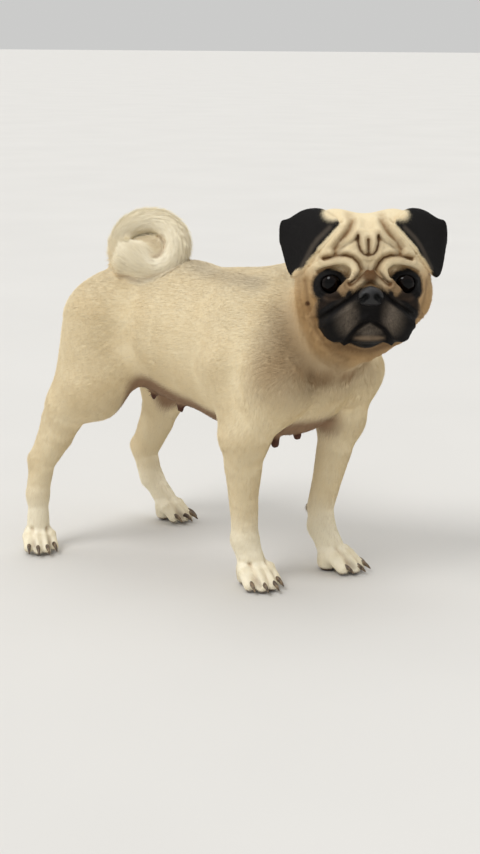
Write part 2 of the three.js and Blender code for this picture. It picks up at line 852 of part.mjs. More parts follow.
// Limbs, measured to the middle of each joint
const LIMBS = {
  front_right: {
    point: [112, -SHOULDER_HALF, 200],
    elbow: [76, -57, 150],
    mid: [71, -52, 118],
    low: [68, -48, 90],
    wrist: [67, -45, 69],
    pastern: [66, -43, 45],
  },
  front_left: {
    point: [121, SHOULDER_HALF, 198],
    elbow: [110, 56, 150],
    mid: [106, 52, 122],
    low: [100, 48, 88],
    wrist: [95, 45, 62],
    pastern: [97, 43, 42],
  },
  hind_right: {
    stifle: [-102, -61, 170],
    shank: [-135, -63, 152, 21],
    calf: [-144, -68, 122, 16.5],
    hock: [-159, -74, 93, 12.5],
    heel: [-168, -76, 93],
    metatarsus: [-165, -78, 60, 10.6],
  },
  hind_left: {
    stifle: [-94, 60, 166],
    shank: [-114, 65, 141, 21],
    calf: [-126, 70, 112, 17.5],
    hock: [-148, 75, 74, 13.5],
    heel: [-160, 76, 78],
    metatarsus: [-144, 79, 46, 11.2],
  },
};
const PAWS = {
  front_right: { centre: [79, -43], turn: -24, wrist: [66, -43, 45, 13.4], grow: 1 },
  front_left: { centre: [116, 43], turn: 8, wrist: [97, 43, 42, 13.4], grow: 1 },
  hind_right: { centre: [-163, -81], turn: -38, wrist: [-165, -78, 60, 10.6], grow: 0.88 },
  hind_left: { centre: [-118, 80], turn: 4, wrist: [-144, 79, 46, 11.2], grow: 0.88 },
};

const sideOf = (name) => (name.endsWith("left") ? 1 : -1);

function bodyField() {
  const clay = torsoClay();
  for (const [name, limb] of Object.entries(LIMBS)) {
    const build = name.startsWith("front") ? foreLimb : hindLimb;
    build(clay, sideOf(name), limb);
    pawShaft(clay, PAWS[name]);
  }
  neckClay(clay);
  addTeats(clay);
  return clay.field();
}

const body = bodyField();
const head = placed(headClay().field(), headMatrix);
const HEAD_BLEND = 7;
const flesh = (x, y, z) => softMin(body(x, y, z), head(x, y, z), HEAD_BLEND);

function pawField(name) {
  const clay = new Clay();
  clay.add(body, 1);
  pawClay(clay, PAWS[name]);
  return clay.field();
}

// Cuts between the nodes of flesh: a point and the normal of each plane
const PAW_CUT = 56;
const NECK_BACK = { point: [92, 6, 254], normal: [0.72, -0.08, 0.69] };
const NECK_FRONT = { point: [160, -8, 214], normal: [0.75, -0.1, 0.65] };

const pastPlane = (p, { point, normal }) => dot(minus(p, point), normal);

// Care is how much detail is kept. What a later cut takes away gets almost none.
const SCRAP = 0.002;
const CUT_MARGIN = 9;

function trunkCare(p) {
  return pastPlane(p, NECK_FRONT) > CUT_MARGIN || p[2] < PAW_CUT - CUT_MARGIN ? SCRAP : 1;
}

function faceCare(p) {
  if (pastPlane(p, NECK_FRONT) < -CUT_MARGIN) return SCRAP;
  const local = new THREE.Vector3(...p).applyMatrix4(headMatrix.clone().invert());
  if (local.x > 68 && Math.abs(local.y) < 15) return 6;
  return local.x > 30 ? 2.5 : 0.8;
}

function pawCare(p) {
  return p[2] > PAW_CUT + CUT_MARGIN ? SCRAP : 1;
}

function shaped(field, low, high, step, wanted, careAt) {
  const isFree = (p) => p.every((v, axis) => v > low[axis] + 2 * step && v < high[axis] - 2 * step);
  const dense = relax(polygonise(field, low, high, step), field, 3, isFree);
  return solidOf(relax(simplify(dense, wanted, careAt), field, 2, isFree));
}

function trunkSolid() {
  return shaped(flesh, [-190, -118, 34], [196, 118, 336], BODY_STEP, BODY_TRIANGLES, trunkCare);
}

function headSolid() {
  const [x, y, z] = HEAD_CENTRE;
  const low = [x - 94, y - 92, z - 100];
  const high = [x + 70, y + 84, z + 72];
  return shaped(flesh, low, high, HEAD_STEP, HEAD_TRIANGLES, faceCare);
}

function pawSolid(name) {
  const { centre } = PAWS[name];
  const low = [centre[0] - 44, centre[1] - 34, -6];
  const high = [centre[0] + 38, centre[1] + 34, 74];
  return shaped(pawField(name), low, high, PAW_STEP, PAW_TRIANGLES, pawCare);
}

// Materials
const paint = (colour, roughness, metalness = 0) =>
  new THREE.MeshStandardMaterial({ color: colour, roughness, metalness });
const COAT = paint(0xd9c39a, 0.85);
const VELVET = paint(0x1f1b19, 0.8);
const HORN = paint(0x1c1917, 0.4);
const LEATHER = paint(0x141212, 0.3);
const GLOSS = paint(0x120b07, 0.08);

const group = new THREE.Group();

function keep(name, solid, material) {
  const mesh = new THREE.Mesh(geometryOf(largest(solid)), material);
  mesh.name = name;
  group.add(mesh);
}

// The limb planes slant up and out, so that each limb keeps its round of muscle
function limbPlane(name) {
  const side = sideOf(name);
  if (name.startsWith("front")) return { point: [90, side * 32, 143], normal: [0, side * 0.72, -0.7] };
  return { point: [-110, side * 18, 168], normal: [0, side * 0.8, -0.6] };
}

function buildEyes(solid) {
  let rest = solid;
  for (const [name, side] of [["eye_right", -1], ["eye_left", 1]]) {
    const sphere = (radius) => {
      const geometry = new THREE.SphereGeometry(radius, 14, 10);
      geometry.rotateZ(-Math.PI / 2);
      geometry.translate(EYE.x, side * EYE.y, EYE.z);
      geometry.applyMatrix4(headMatrix);
      return solidFrom(geometry);
    };
    keep(name, sphere(EYE.radius), GLOSS);
    rest = rest.subtract(sphere(EYE.radius + GAP * 1.1));
  }
  return rest;
}

function buildNose(solid) {
  const plug = (thicker) => {
    const geometry = new THREE.SphereGeometry(1, 14, 10);
    geometry.scale(...NOSE.half.map((half) => half + 0.6 + thicker));
    geometry.translate(NOSE.x + 0.8, 0, NOSE.z);
    geometry.applyMatrix4(headMatrix);
    return solidFrom(geometry);
  };
  keep("nose", solid.intersect(plug(0)), LEATHER);
  return solid.subtract(plug(GAP * 1.1));
}

function buildEars(solid) {
  let rest = solid;
  for (const [name, side] of [["ear_right", -1], ["ear_left", 1]]) {
    const mesh = earMesh(side);
    const ear = solidOf(mesh);
    keep(name, ear, VELVET);
    rest = rest.subtract(solidOf(grown(mesh, GAP * 1.5))).subtract(ear);
  }
  return rest;
}

function buildHead(solid) {
  const cut = part(solid, NECK_FRONT.point, NECK_FRONT.normal)[0];
  const withNose = buildNose(buildEyes(cut));
  keep("head", buildEars(withNose), COAT);
}

// The tail is parted across its line, half a gap to each side of a cut
const TAIL_CUTS = [0, 0.34, 0.66, 1];

function buildTail(solid) {
  let rest = solid;
  ["tail_root", "tail_curl", "tail_tip"].forEach((name, i) => {
    const overrun = 0.06;
    const from = Math.max(0, TAIL_CUTS[i] - overrun);
    const to = Math.min(1, TAIL_CUTS[i + 1] + overrun);
    const mesh = tailMesh(from, to);
    let length = solidOf(mesh);
    const direction = (t) => minus(tailAt(t + 0.002), tailAt(t - 0.002));
    if (i > 0) length = part(length, tailAt(TAIL_CUTS[i]), direction(TAIL_CUTS[i]))[0];
    if (i < 2) length = part(length, tailAt(TAIL_CUTS[i + 1]), direction(TAIL_CUTS[i + 1]))[1];
    keep(name, length, COAT);
    rest = rest.subtract(solidOf(grown(mesh, GAP * 1.15)));
  });
  return rest;
}

function buildPaw(name) {
  const { centre } = PAWS[name];
  const low = [centre[0] - 60, centre[1] - 50, 0];
  const high = [centre[0] + 60, centre[1] + 50, PAW_CUT - GAP / 2];
  let paw = pawSolid(name).intersect(boxSolid(low, high));
  TOES.forEach((toe, i) => {
    keep(`claw_${name}_${i + 1}`, clawSolid(PAWS[name], toe, 0), HORN);
    paw = paw.subtract(clawSolid(PAWS[name], toe, GAP * 1.1));
  });
  keep(`paw_${name}`, paw, COAT);
}

function buildBody() {
  let rest = trunkSolid();
  const above = boxSolid([-300, -200, PAW_CUT + GAP / 2], [300, 200, 400]);
  rest = rest.intersect(above);
  for (const name of Object.keys(LIMBS)) {
    const { point, normal } = limbPlane(name);
    const side = sideOf(name);
    const reach = name.startsWith("front") ? [20, 180] : [-220, -52];
    const across = side > 0 ? [12, 150] : [-150, -12];
    const zone = boxSolid([reach[0], across[0], 0], [reach[1], across[1], 320]);
    const room = boxSolid([reach[0] - GAP, across[0] - GAP, 0], [reach[1] + GAP, across[1] + GAP, 320]);
    const limb = rest.intersect(zone.intersect(halfSpace(point, normal, GAP / 2)));
    rest = rest.subtract(room.intersect(halfSpace(point, normal, -GAP / 2)));
    if (name.startsWith("front")) {
      keep(`foreleg_${name.slice(6)}`, limb, COAT);
    } else {
      const knee = name.endsWith("right") ? 138 : 128;
      const [thigh, shank] = part(limb, [0, 0, knee], [0, 0, 1]);
      keep(`thigh_${name.slice(5)}`, thigh, COAT);
      keep(`shank_${name.slice(5)}`, shank, COAT);
    }
  }
  const [front, torso] = part(rest, NECK_BACK.point, NECK_BACK.normal);
  const neck = part(front, NECK_FRONT.point, NECK_FRONT.normal)[1];
  keep("neck", neck, COAT);
  keep("torso", buildTail(torso), COAT);
}

buildBody();
buildHead(headSolid());
for (const name of Object.keys(PAWS)) buildPaw(name);

// The origin is the middle of the footprint of the whole, on the floor
const box = new THREE.Box3().setFromObject(group);
const middle = box.getCenter(new THREE.Vector3());
for (const mesh of group.children) mesh.position.set(-middle.x, -middle.y, -box.min.z);

export default group;
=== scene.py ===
"""A fawn pug, standing with its head turned, as a life-size museum model.

The flesh is the same blended clay as the solids, read on a finer grid, with the folds of the face
added. Sizes inside the clay are millimetres in the animal's own axes: +X forward, +Y its left, +Z up.
"""

import math

import bmesh
import bpy
import numpy as np
from mathutils import Matrix, Vector
from mathutils.bvhtree import BVHTree


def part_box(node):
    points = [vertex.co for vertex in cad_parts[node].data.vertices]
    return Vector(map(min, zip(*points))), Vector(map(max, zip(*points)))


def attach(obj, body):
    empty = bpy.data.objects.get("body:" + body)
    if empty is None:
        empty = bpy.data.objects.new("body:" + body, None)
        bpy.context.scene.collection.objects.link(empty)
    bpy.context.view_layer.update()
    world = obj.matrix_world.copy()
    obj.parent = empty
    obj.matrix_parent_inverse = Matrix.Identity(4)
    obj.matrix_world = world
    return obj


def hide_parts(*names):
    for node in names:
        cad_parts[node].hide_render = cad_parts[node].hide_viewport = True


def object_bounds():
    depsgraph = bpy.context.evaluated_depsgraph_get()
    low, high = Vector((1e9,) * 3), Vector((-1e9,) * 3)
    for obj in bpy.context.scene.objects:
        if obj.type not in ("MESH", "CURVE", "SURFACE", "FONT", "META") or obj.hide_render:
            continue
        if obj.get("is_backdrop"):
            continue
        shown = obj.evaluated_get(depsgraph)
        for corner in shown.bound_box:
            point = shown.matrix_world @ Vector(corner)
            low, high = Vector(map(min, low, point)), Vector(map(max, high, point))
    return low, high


# Grid of the skin on the body; the face, ears and paws have half of it. The nose has its own
COARSE_STEP = 3.4
NOSE_STEP = 0.8
SKIN_LOW = (-200, -118, -6)
SKIN_HIGH = (242, 124, 364)

# How far the skin lies under the tips of the coat
COAT_DEPTH = 1.3
FACE_DEPTH = 0.7

# How far the soles and the lowest tufts stay above the floor
SOLE_GAP = 0.4
TUFT_GAP = 0.2

# Driving heights and half widths of the body, as in the solids
WITHERS = 296
CROUP = 286
CHEST_FLOOR = 137
BELLY_FLOOR = 155
CHEST_HALF = 70
LOIN_HALF = 61
RUMP_HALF = 56
SHOULDER_HALF = 57
HIP_HALF = 40

# Head and tail, as in the solids
HEAD_CENTRE = np.array([158, 13, 294.5])
HEAD_TURN = math.radians(-54)
HEAD_LIFT = math.radians(4)
HEAD_BLEND = 7
HEAD_REACH = (110, 100, 105)
EYE = np.array([45, 32, 0])
EYE_RADIUS = 11
NOSE = np.array([78, 0, -8.8])
NOSE_HALF = (8.2, 8.8, 8.6)
EAR_THICK = 3.2
CURL_CENTRE = np.array([-76, 0, 301])
CURL_RADIUS = 31
CURL_WIDER = 1.13
CURL_TURN = math.radians(15)
CURL_ALONG = np.array([math.cos(CURL_TURN), math.sin(CURL_TURN), 0])
CURL_OUT = np.array([math.sin(CURL_TURN), -math.cos(CURL_TURN), 0])
TAIL_THICK = 12.5

# Camera: place and aim in the animal's axes, and the lens
CAMERA_PLACE = (904.4, -1226.0, 510.0)
CAMERA_HEADING = math.radians(35.5)
CAMERA_DIP = math.radians(13.8)
CAMERA_FOCAL_PIXELS = 1600
PHOTO_HEIGHT = 854
SENSOR_HEIGHT = 36

HEAD_AXES = np.array(
    Matrix.Rotation(HEAD_TURN, 3, "Z") @ Matrix.Rotation(-HEAD_LIFT, 3, "Y")
)


def to_head(points):
    return (points - HEAD_CENTRE) @ HEAD_AXES


def from_head(points):
    return np.asarray(points, float) @ HEAD_AXES.T + HEAD_CENTRE


def smooth(values, low, high):
    """0 below `low`, 1 above `high`, and eased in between."""
    t = np.clip((values - low) / (high - low), 0, 1)
    return t * t * (3 - 2 * t)


def mix(a, b, t):
    return a + (b - a) * t


def unit(rows):
    return rows / np.linalg.norm(rows, axis=1)[:, None]


def in_box(points, low, high):
    return ((points > low) & (points < high)).all(1)


# Distance fields: each takes an N x 3 array of points and is negative inside

# What a field says of a point too far off to be measured, and how close a point is near the surface
FAR = 30.0
NEAR = 9


def ellipsoid(centre, half):
    centre, half = np.array(centre, float), np.array(half, float)

    def field(points):
        scaled = (points - centre) / half
        outer = np.linalg.norm(scaled, axis=1)
        slope = np.linalg.norm(scaled / half, axis=1) + 1e-9
        return outer * (outer - 1) / slope

    return field


def ball(centre, radius):
    return ellipsoid(centre, (radius, radius, radius))


def cone(start, end, start_radius, end_radius):
    start, end = np.array(start, float), np.array(end, float)
    axis = end - start
    square = axis @ axis

    def field(points):
        gap = points - start
        along = np.clip(gap @ axis / square, 0, 1)
        gap = gap - along[:, None] * axis
        return np.sqrt((gap * gap).sum(1)) - mix(start_radius, end_radius, along)

    return field


def chain(stops):
    """Round cones one after another; each stop is x, y, z and radius."""
    links = [cone(a[:3], b[:3], a[3], b[3]) for a, b in zip(stops, stops[1:])]

    def field(points):
        return np.min([link(points) for link in links], axis=0)

    return field


def mirrored(field):
    return lambda points: field(points * (1, -1, 1))


def folded(points):
    """The points, with those of the right half mirrored to the left."""
    return points * (1, 0, 1) + np.abs(points) * (0, 1, 0)


def soft_min(a, b, blend):
    near = np.maximum(blend - np.abs(a - b), 0) / blend
    return np.minimum(a, b) - near * near * blend * 0.25


class Clay:
    """Lumps added to, or taken from, one body in order, each with its own width of blend."""

    # Size of a block, the number of blocks below zero, and the most there can be along an axis
    BLOCK = 14.0
    BELOW = 100
    ROW = 1000

    def __init__(self):
        self.steps = []

    def add(self, field, blend):
        self.steps.append((field, blend, 1))

    def carve(self, field, blend):
        self.steps.append((field, blend, -1))

    def add_pair(self, field, blend):
        self.add(field, blend)
        self.add(mirrored(field), blend)

    def carve_pair(self, field, blend):
        self.carve(field, blend)
        self.carve(mirrored(field), blend)

    def __call__(self, points):
        """Reads the clay at the points. A lump too far off to matter in a block is skipped there."""
        cells = np.floor(points / self.BLOCK).astype(np.int64) + self.BELOW
        keys = (cells[:, 0] * self.ROW + cells[:, 1]) * self.ROW + cells[:, 2]
        found, place = np.unique(keys, return_inverse=True)
        middles = np.stack([found // self.ROW**2, found // self.ROW % self.ROW, found % self.ROW], 1)
        middles = (middles - self.BELOW + 0.5) * self.BLOCK
        reach = self.BLOCK * 1.1 + 6
        values = np.full(len(points), FAR)
        for field, blend, sign in self.steps:
            near = (field(middles) < reach + blend)[place]
            if near.any():
                there = field(points[near])
                values[near] = sign * soft_min(sign * values[near], there, blend)
        return values


def torso_clay(clay):
    rib_height = (WITHERS - CHEST_FLOOR) / 2
    rib_centre = CHEST_FLOOR + rib_height
    clay.add(ellipsoid((48, 0, rib_centre), (92, CHEST_HALF, rib_height - 3)), 1)
    clay.add(ellipsoid((92, 3, 208), (52, 56, 62)), 26)
    clay.add(ellipsoid((-38, 0, 229), (92, LOIN_HALF, 59)), 24)
    clay.add(ellipsoid((-15, 0, BELLY_FLOOR + 31), (75, 40, 31)), 14)
    clay.add(ellipsoid((-103, 0, CROUP - 52), (51, RUMP_HALF, 52)), 24)
    clay.add(cone((20, 0, WITHERS - 48), (-110, 0, CROUP - 44), 44, 40), 16)
    clay.add(cone((-24, -1, CROUP - 13), (-76, -1, CROUP - 17), 24, 26), 16)


# Each pair of teats: how far along and across the belly, its radius and its length
TEATS = [(84, 19, 5.2, 12), (34, 22, 3.6, 7), (-26, 21, 4.4, 9), (-60, 20, 3.6, 7), (-94, 18, 4.4, 9)]


def underside(trunk, x, y):
    """Height of the trunk's lower side, to half a millimetre."""
    heights = np.arange(215, 100, -0.5)
    line = np.column_stack([np.full(len(heights), x), np.full(len(heights), y), heights])
    return heights[np.argmax(trunk(line) >= 0)]


def add_teats(clay):
    """Teats hang in pairs from the underside; returns the middle and the radius of each."""
    trunk = Clay()
    trunk.steps = list(clay.steps)
    places = []
    for x, y, radius, length in TEATS:
        z = underside(trunk, x, y)
        tip = (x, y, z - length + radius)
        clay.add_pair(cone((x, y, z + 3), tip, radius + 1, radius), 4)
        places += [(x, y, z - length / 2, radius), (x, -y, z - length / 2, radius)]
    return places


def neck_clay(clay):
    clay.add(cone((74, 4, 239), (136, 32, 282), 53, 45), 30)
    clay.add(cone((104, 2, 224), (138, 18, 256), 47, 38), 20)


# Limbs: the middle of each joint, most with the limb's radius there. A paw hangs from its limb's foot
LIMBS = {
    "front_right": {
        "point": (112, -SHOULDER_HALF, 200),
        "elbow": (76, -57, 150, 21),
        "mid": (71, -52, 118, 18.5),
        "low": (68, -48, 90, 15.2),
        "wrist": (67, -45, 69, 14),
        "foot": (66, -43, 45, 13.4),
    },
    "front_left": {
        "point": (121, SHOULDER_HALF, 198),
        "elbow": (110, 56, 150, 21),
        "mid": (106, 52, 122, 18.5),
        "low": (100, 48, 88, 15.2),
        "wrist": (95, 45, 62, 14),
        "foot": (97, 43, 42, 13.4),
    },
    "hind_right": {
        "stifle": (-102, -61, 170, 26),
        "shank": (-135, -63, 152, 21),
        "calf": (-144, -68, 122, 16.5),
        "hock": (-159, -74, 93, 12.5),
        "heel": (-168, -76, 93),
        "foot": (-165, -78, 60, 10.6),
    },
    "hind_left": {
        "stifle": (-94, 60, 166, 26),
        "shank": (-114, 65, 141, 21),
        "calf": (-126, 70, 112, 17.5),
        "hock": (-148, 75, 74, 13.5),
        "heel": (-160, 76, 78),
        "foot": (-144, 79, 46, 11.2),
    },
}
PAWS = {
    "front_right": {"centre": (79, -43), "turn": -24, "grow": 1},
    "front_left": {"centre": (116, 43), "turn": 8, "grow": 1},
    "hind_right": {"centre": (-163, -81), "turn": -38, "grow": 0.88},
    "hind_left": {"centre": (-118, 80), "turn": 4, "grow": 0.88},
}
# Each toe: how far across and ahead of the paw's middle, and its radius
TOES = [(-14.2, 7, 7.2), (-5.2, 15, 7.8), (5.2, 15, 7.8), (14.2, 7, 7.2)]


def side_of(name):
    return 1 if name.endswith("left") else -1


def fore_limb(clay, side, limb):
    point, elbow = limb["point"], limb["elbow"][:3]
    clay.add(cone((point[0] - 52, side * 34, 262), point, 22, 27), 22)
    clay.add(cone(point, elbow, 27, 21.5), 18)
    clay.add(cone((elbow[0] - 16, point[1], 214), elbow, 25, 19), 16)
    clay.add(chain([limb[joint] for joint in ("elbow", "mid", "low", "wrist", "foot")]), 10)


def hind_limb(clay, side, limb):
    stifle, calf, heel, foot = [np.array(limb[joint][:3]) for joint in ("stifle", "calf", "heel", "foot")]
    clay.add(cone((-106, side * HIP_HALF, 236), stifle + (-6, 0, 8), 41, 30), 22)
    clay.add(cone((-123, side * (HIP_HALF + 1), 212), limb["shank"][:3], 26, 20), 16)
    clay.add(cone((-84, side * (HIP_HALF + 4), 196), stifle, 26, 25), 18)
    clay.add(chain([limb[joint] for joint in ("stifle", "shank", "calf", "hock", "foot")]), 14)
    clay.add(cone(calf + (-8, 0, 16), heel + (1, 0, 2), 9, 6.2), 12)
    clay.add(cone(heel + (1, 0, 2), foot + (-2, 0, -4), 6.2, 8), 12)


def paw_point(paw, forward, across, z):
    turn = math.radians(paw["turn"])
    ahead = np.array([math.cos(turn), math.sin(turn)]) * paw["grow"]
    middle = np.array(paw["centre"]) + ahead * forward + np.array([-ahead[1], ahead[0]]) * across
    return np.array([*middle, z])


def toe_gaps(paw):
    """The clefts between the toes, each from its root on the paw, over the knuckles, to its end."""
    gaps = []
    for left, right in zip(TOES, TOES[1:]):
        across = (left[0] + right[0]) / 2
        ahead = min(left[1], right[1])
        stops = ((ahead - 4, across * 0.9, 25), (ahead + 5, across, 19), (ahead + 15, across * 1.1, 8))
        gaps.append([paw_point(paw, *stop) for stop in stops])
    return gaps


def paw_clay(clay, paw, foot):
    grow = paw["grow"]
    clay.add(cone(foot[:3], paw_point(paw, -5, 0, 17), foot[3], 14.5 * grow), 6)
    clay.add(cone(paw_point(paw, -9, -5, 8), paw_point(paw, -9, 5, 8), 10 * grow, 10 * grow), 7)
    for across, ahead, radius in TOES:
        knuckle = paw_point(paw, ahead - 6, across * 0.92, 16)
        tip = paw_point(paw, ahead + 5, across, 7)
        clay.add(cone(paw_point(paw, -8, across * 0.55, 17), knuckle, 8, radius * grow), 5)
        clay.add(cone(knuckle, tip, radius * grow, radius * grow * 0.96), 1.6)
    for gap in toe_gaps(paw):
        clay.carve(chain([(*gap[0], 0.5), (*gap[1], 1.3), (*gap[2], 2.2)]), 2.5)


def in_curl(along, rise, out):
    """A point of the curl, measured from its centre."""
    return CURL_CENTRE + CURL_ALONG * along + (0, 0, rise) + CURL_OUT * out


def tail_at(t):
    """A point of the tail's line, from its root at 0 round the curl to its tip at 1."""
    angle = math.radians(mix(212, -170, t))
    radius = CURL_RADIUS * mix(1, 0.3, smooth(t, 0.45, 0.85))
    rise = radius * math.sin(angle) + 6 * smooth(t, 0.6, 0.85)
    return in_curl(CURL_WIDER * radius * math.cos(angle), rise, mix(-2, 29, smooth(t, 0.3, 0.75)))


def tail_thickness(t):
    return TAIL_THICK * (1 + 0.3 * smooth(t, 0.6, 0.8) - 0.45 * smooth(t, 0.86, 1))


TAIL_STOPS = [(*tail_at(t), float(tail_thickness(t))) for t in np.linspace(0, 1, 31)]


# Inside the curl, where the tip of the tail is rolled up: along, rise, out and radius
ROLLED_TIP = [(-22, -9, 22, 11), (-13, -8, 25, 15), (0, -6, 25, 16.5)]
ROLLED_TIP += [(7, -2, 19, 16), (8, 4, 10, 16), (-6, 2, 6, 16)]
TAIL_BUN = [(*in_curl(*stop[:3]), stop[3]) for stop in ROLLED_TIP]


def head_form(clay):
    """Skull, cheeks, muzzle and lips, as in the solids, and a little more muzzle behind the nose."""
    clay.add(ellipsoid((-4, 0, 9), (53, 52, 50)), 1)
    clay.add(ellipsoid((18, 0, 20), (35, 43, 37)), 14)
    clay.add_pair(ball((-2, 27, 42), 22), 12)
    clay.add_pair(ellipsoid((22, 31, 3), (27, 25, 28)), 12)
    clay.add_pair(ball((9, 33, -15), 28.5), 14)
    clay.add_pair(ball((18, 25, -42), 19), 12)
    clay.add(ball((0, 0, -48), 27), 14)
    clay.add(cone((8, 0, -46), (50, 0, -41), 21, 14), 8)
    clay.add(ellipsoid((51, 0, -13), (27, 27, 22)), 8)
    clay.add_pair(ellipsoid((38, 31, -30), (21, 15.5, 20)), 9)
    clay.add(ellipsoid((53, 0, -42), (20, 18, 13.5)), 3)
    clay.add_pair(ellipsoid((56, 21, -31), (23, 19.5, 19)), 4)
    clay.add(ellipsoid((65, 0, -12.5), (15.5, 14.5, 11.5)), 6)
    clay.add(ellipsoid((58, 0, -27), (19, 15, 13)), 6)


# Lines of the face, on its left half, in the head's axes: where skin folds into a crease
CENTRE_CREASE = [(50.5, 0, 37), (54, 0, 31), (55, 0.5, 25)]
CUP_CREASE = [(47, 9, 41), (49.5, 9, 37), (51.5, 8.5, 33), (53.5, 7, 28.5), (55, 4, 25), (55, 0, 24)]
ARC_CREASE = [(49, 10, 38.5), (51, 14.5, 35.5), (49.5, 19, 33), (48.5, 24, 29), (48, 28.5, 25)]
VALLEY = [(31, 15, 58), (39.5, 13.5, 52.5), (41, 16, 46.5), (43.5, 20, 41), (46.5, 25.5, 35), (48.5, 29, 29)]
BROW_CREASE = [(46, 38, 20.5), (50.5, 28, 23.5), (53, 20, 24), (54, 13.5, 22), (56, 9, 17.5)]
BROW_CREASE += [(60, 6.5, 12), (67, 8, 9), (70.5, 11.5, 5.5), (69.5, 17, 1)]
BROW_ROLL = [(33, 52, 6), (41, 45.5, 14), (49, 37, 18), (54.5, 27, 20)]
BROW_ROLL += [(57.5, 18.5, 20), (59.5, 13, 16), (63, 11.5, 10), (65.5, 14.5, 4.5)]
LID_CREASE = [(45, 44, 9), (50.5, 37, 13), (56, 29, 15.2), (60, 22, 15.2), (61.5, 17.5, 12), (62.5, 18, 7)]
NOSE_ROLL = [(67, 0, 7), (66, 11, 2), (63, 21, -5), (57.5, 31, -12), (49, 40, -20), (36, 48, -29)]
ROLL_CREASE = [(82, 0, 1), (77.5, 8, -5), (73.5, 16, -12), (72.5, 23, -17)]
ROLL_CREASE += [(71, 30, -22), (64, 38.5, -29), (53, 45, -35)]
MOUTH_LINE = [(80, 0, -30), (77.5, 7, -34), (75.5, 12.5, -38), (73.5, 17, -44)]
MOUTH_LINE += [(69, 21, -50), (58, 30, -54), (46, 37, -52)]
UNDER_LIP = [(71, 0, -52.5), (69, 8, -53), (63, 16, -55)]
CHEEK_FOLD = [(33, 54, 0), (33, 52, -16), (34, 49, -29), (27, 43, -45)]
CHEEK_FOLD += [(24, 35, -57), (19, 25, -66), (13, 14, -72)]
EAR_SLIT = [(34, 33, 48), (34, 37, 44), (32, 43, 38), (29, 48, 31), (29, 53, 21), (28, 58, 11)]
UNDER_EYE = [(59, 21, -9), (57, 27, -12.5), (53, 35, -13), (47, 42, -10)]
# Each crease that is pressed into the skin: its line, how wide and how deep, in millimetres
CREASES = [
    (CENTRE_CREASE, 1.6, 2.2),
    (CUP_CREASE, 1.6, 2.0),
    (ARC_CREASE, 1.8, 2.0),
    (VALLEY, 2.6, 3.0),
    (BROW_CREASE, 1.8, 3.0),
    (LID_CREASE, 1.4, 2.0),
    (ROLL_CREASE, 2.2, 3.6),
    (MOUTH_LINE, 1.8, 3.2),
    (UNDER_LIP, 1.8, 2.6),
    (UNDER_EYE, 1.6, 1.2),
    (CHEEK_FOLD, 4.0, 2.0),
]
# A line on the face keeps its place from in front, whatever the depth of the skin under it
FLATTEN = np.array([0.15, 1, 1])


def line_gap(points, stops):
    """Distance to a line of the face, on both sides of it."""
    return chain([(*(np.array(stop) * FLATTEN), 0) for stop in stops])(folded(points) * FLATTEN)


def pressed(points):
    """How far the creases of the face sink the skin, and the puffed skin beside them lifts it."""
    depth = np.zeros(len(points))
    for stops, width, sink in CREASES:
        gap = line_gap(points, stops) / width
        depth += sink * (np.exp(-gap * gap) - 0.3 * np.exp(-((gap - 2.4) ** 2)))
    return depth


def forehead_folds(clay):
    """Puffed folds between ear and ear. The creases that part them are pressed in afterwards."""
    clay.add_pair(chain([(24, 15, 52, 6), (35, 17.5, 45, 6.5), (40, 26, 36, 6), (38, 36, 26.5, 5.5)]), 4)
    clay.add_pair(chain([(31, 7.5, 51, 5.5), (41, 10, 42, 5.5), (43.5, 15, 34, 5)]), 4)
    clay.add_pair(chain([(44, 4, 42, 4.4), (48, 4.4, 34, 4.4), (49.5, 4, 29, 3.6)]), 3)


UPPER_LID = [(50, 42, 1.5), (54, 38.5, 5.3), (57, 32, 7), (58, 26, 5.6), (57.5, 22, 1.5)]


def brow_and_eye(clay):
    """The brow roll that curls round the inner corner of each eye, and the lids in its shade."""
    radii = (3.2, 3.8, 4.2, 4.4, 4.6, 4.5, 4.3, 3.4)
    clay.add_pair(chain([(*stop, radius) for stop, radius in zip(BROW_ROLL, radii)]), 1.6)
    clay.carve(ball((66, 0, 13.5), 2.6), 2)
    clay.add_pair(ball(EYE, EYE_RADIUS + 1.9), 4)
    clay.add_pair(chain([(*stop, 1.7) for stop in UPPER_LID]), 1.2)
    clay.add_pair(ball((52, 38.5, -11), 3.4), 6)
    clay.carve_pair(ellipsoid(EYE + (11, 1, -1), (10, 9.6, 8.2)), 1)


# The head is turned to its right, so the loose skin bunches on that side and lies flat on the other
RIGHT_RIDGE = [(23, -58, 4), (22, -58, -10), (22, -55, -26), (22, -49, -42)]
RIGHT_RIDGE += [(20, -41, -57), (15, -28, -68), (8, -10, -75)]
LEFT_RIDGE = [(16, 52, 2), (15, 52, -10), (14, 49, -24), (13, 42, -38)]
LEFT_RIDGE += [(11, 33, -51), (9, 20, -62), (8, 0, -70)]


def cheek(clay):
    """The jaw, and the ridge of loose skin that frames the face from ear to throat."""
    clay.add(ellipsoid((8, -33, -43), (21, 22, 31)), 12)
    clay.add(chain([(*stop, 4.2) for stop in RIGHT_RIDGE]), 9)
    clay.add(chain([(*stop, 4.2) for stop in LEFT_RIDGE]), 9)
    clay.add_pair(ellipsoid((53, 24, -38), (18, 15, 15)), 5)


def nose_roll(clay):
    """The roll over the nose, which runs down to each cheek."""
    clay.add_pair(cone((50, 41, -11), (40, 49, -9), 4, 4), 6)
    radii = (6.2, 6.2, 6.4, 6.6, 6.4, 5.5)
    clay.add_pair(chain([(*stop, radius) for stop, radius in zip(NOSE_ROLL, radii)]), 2)


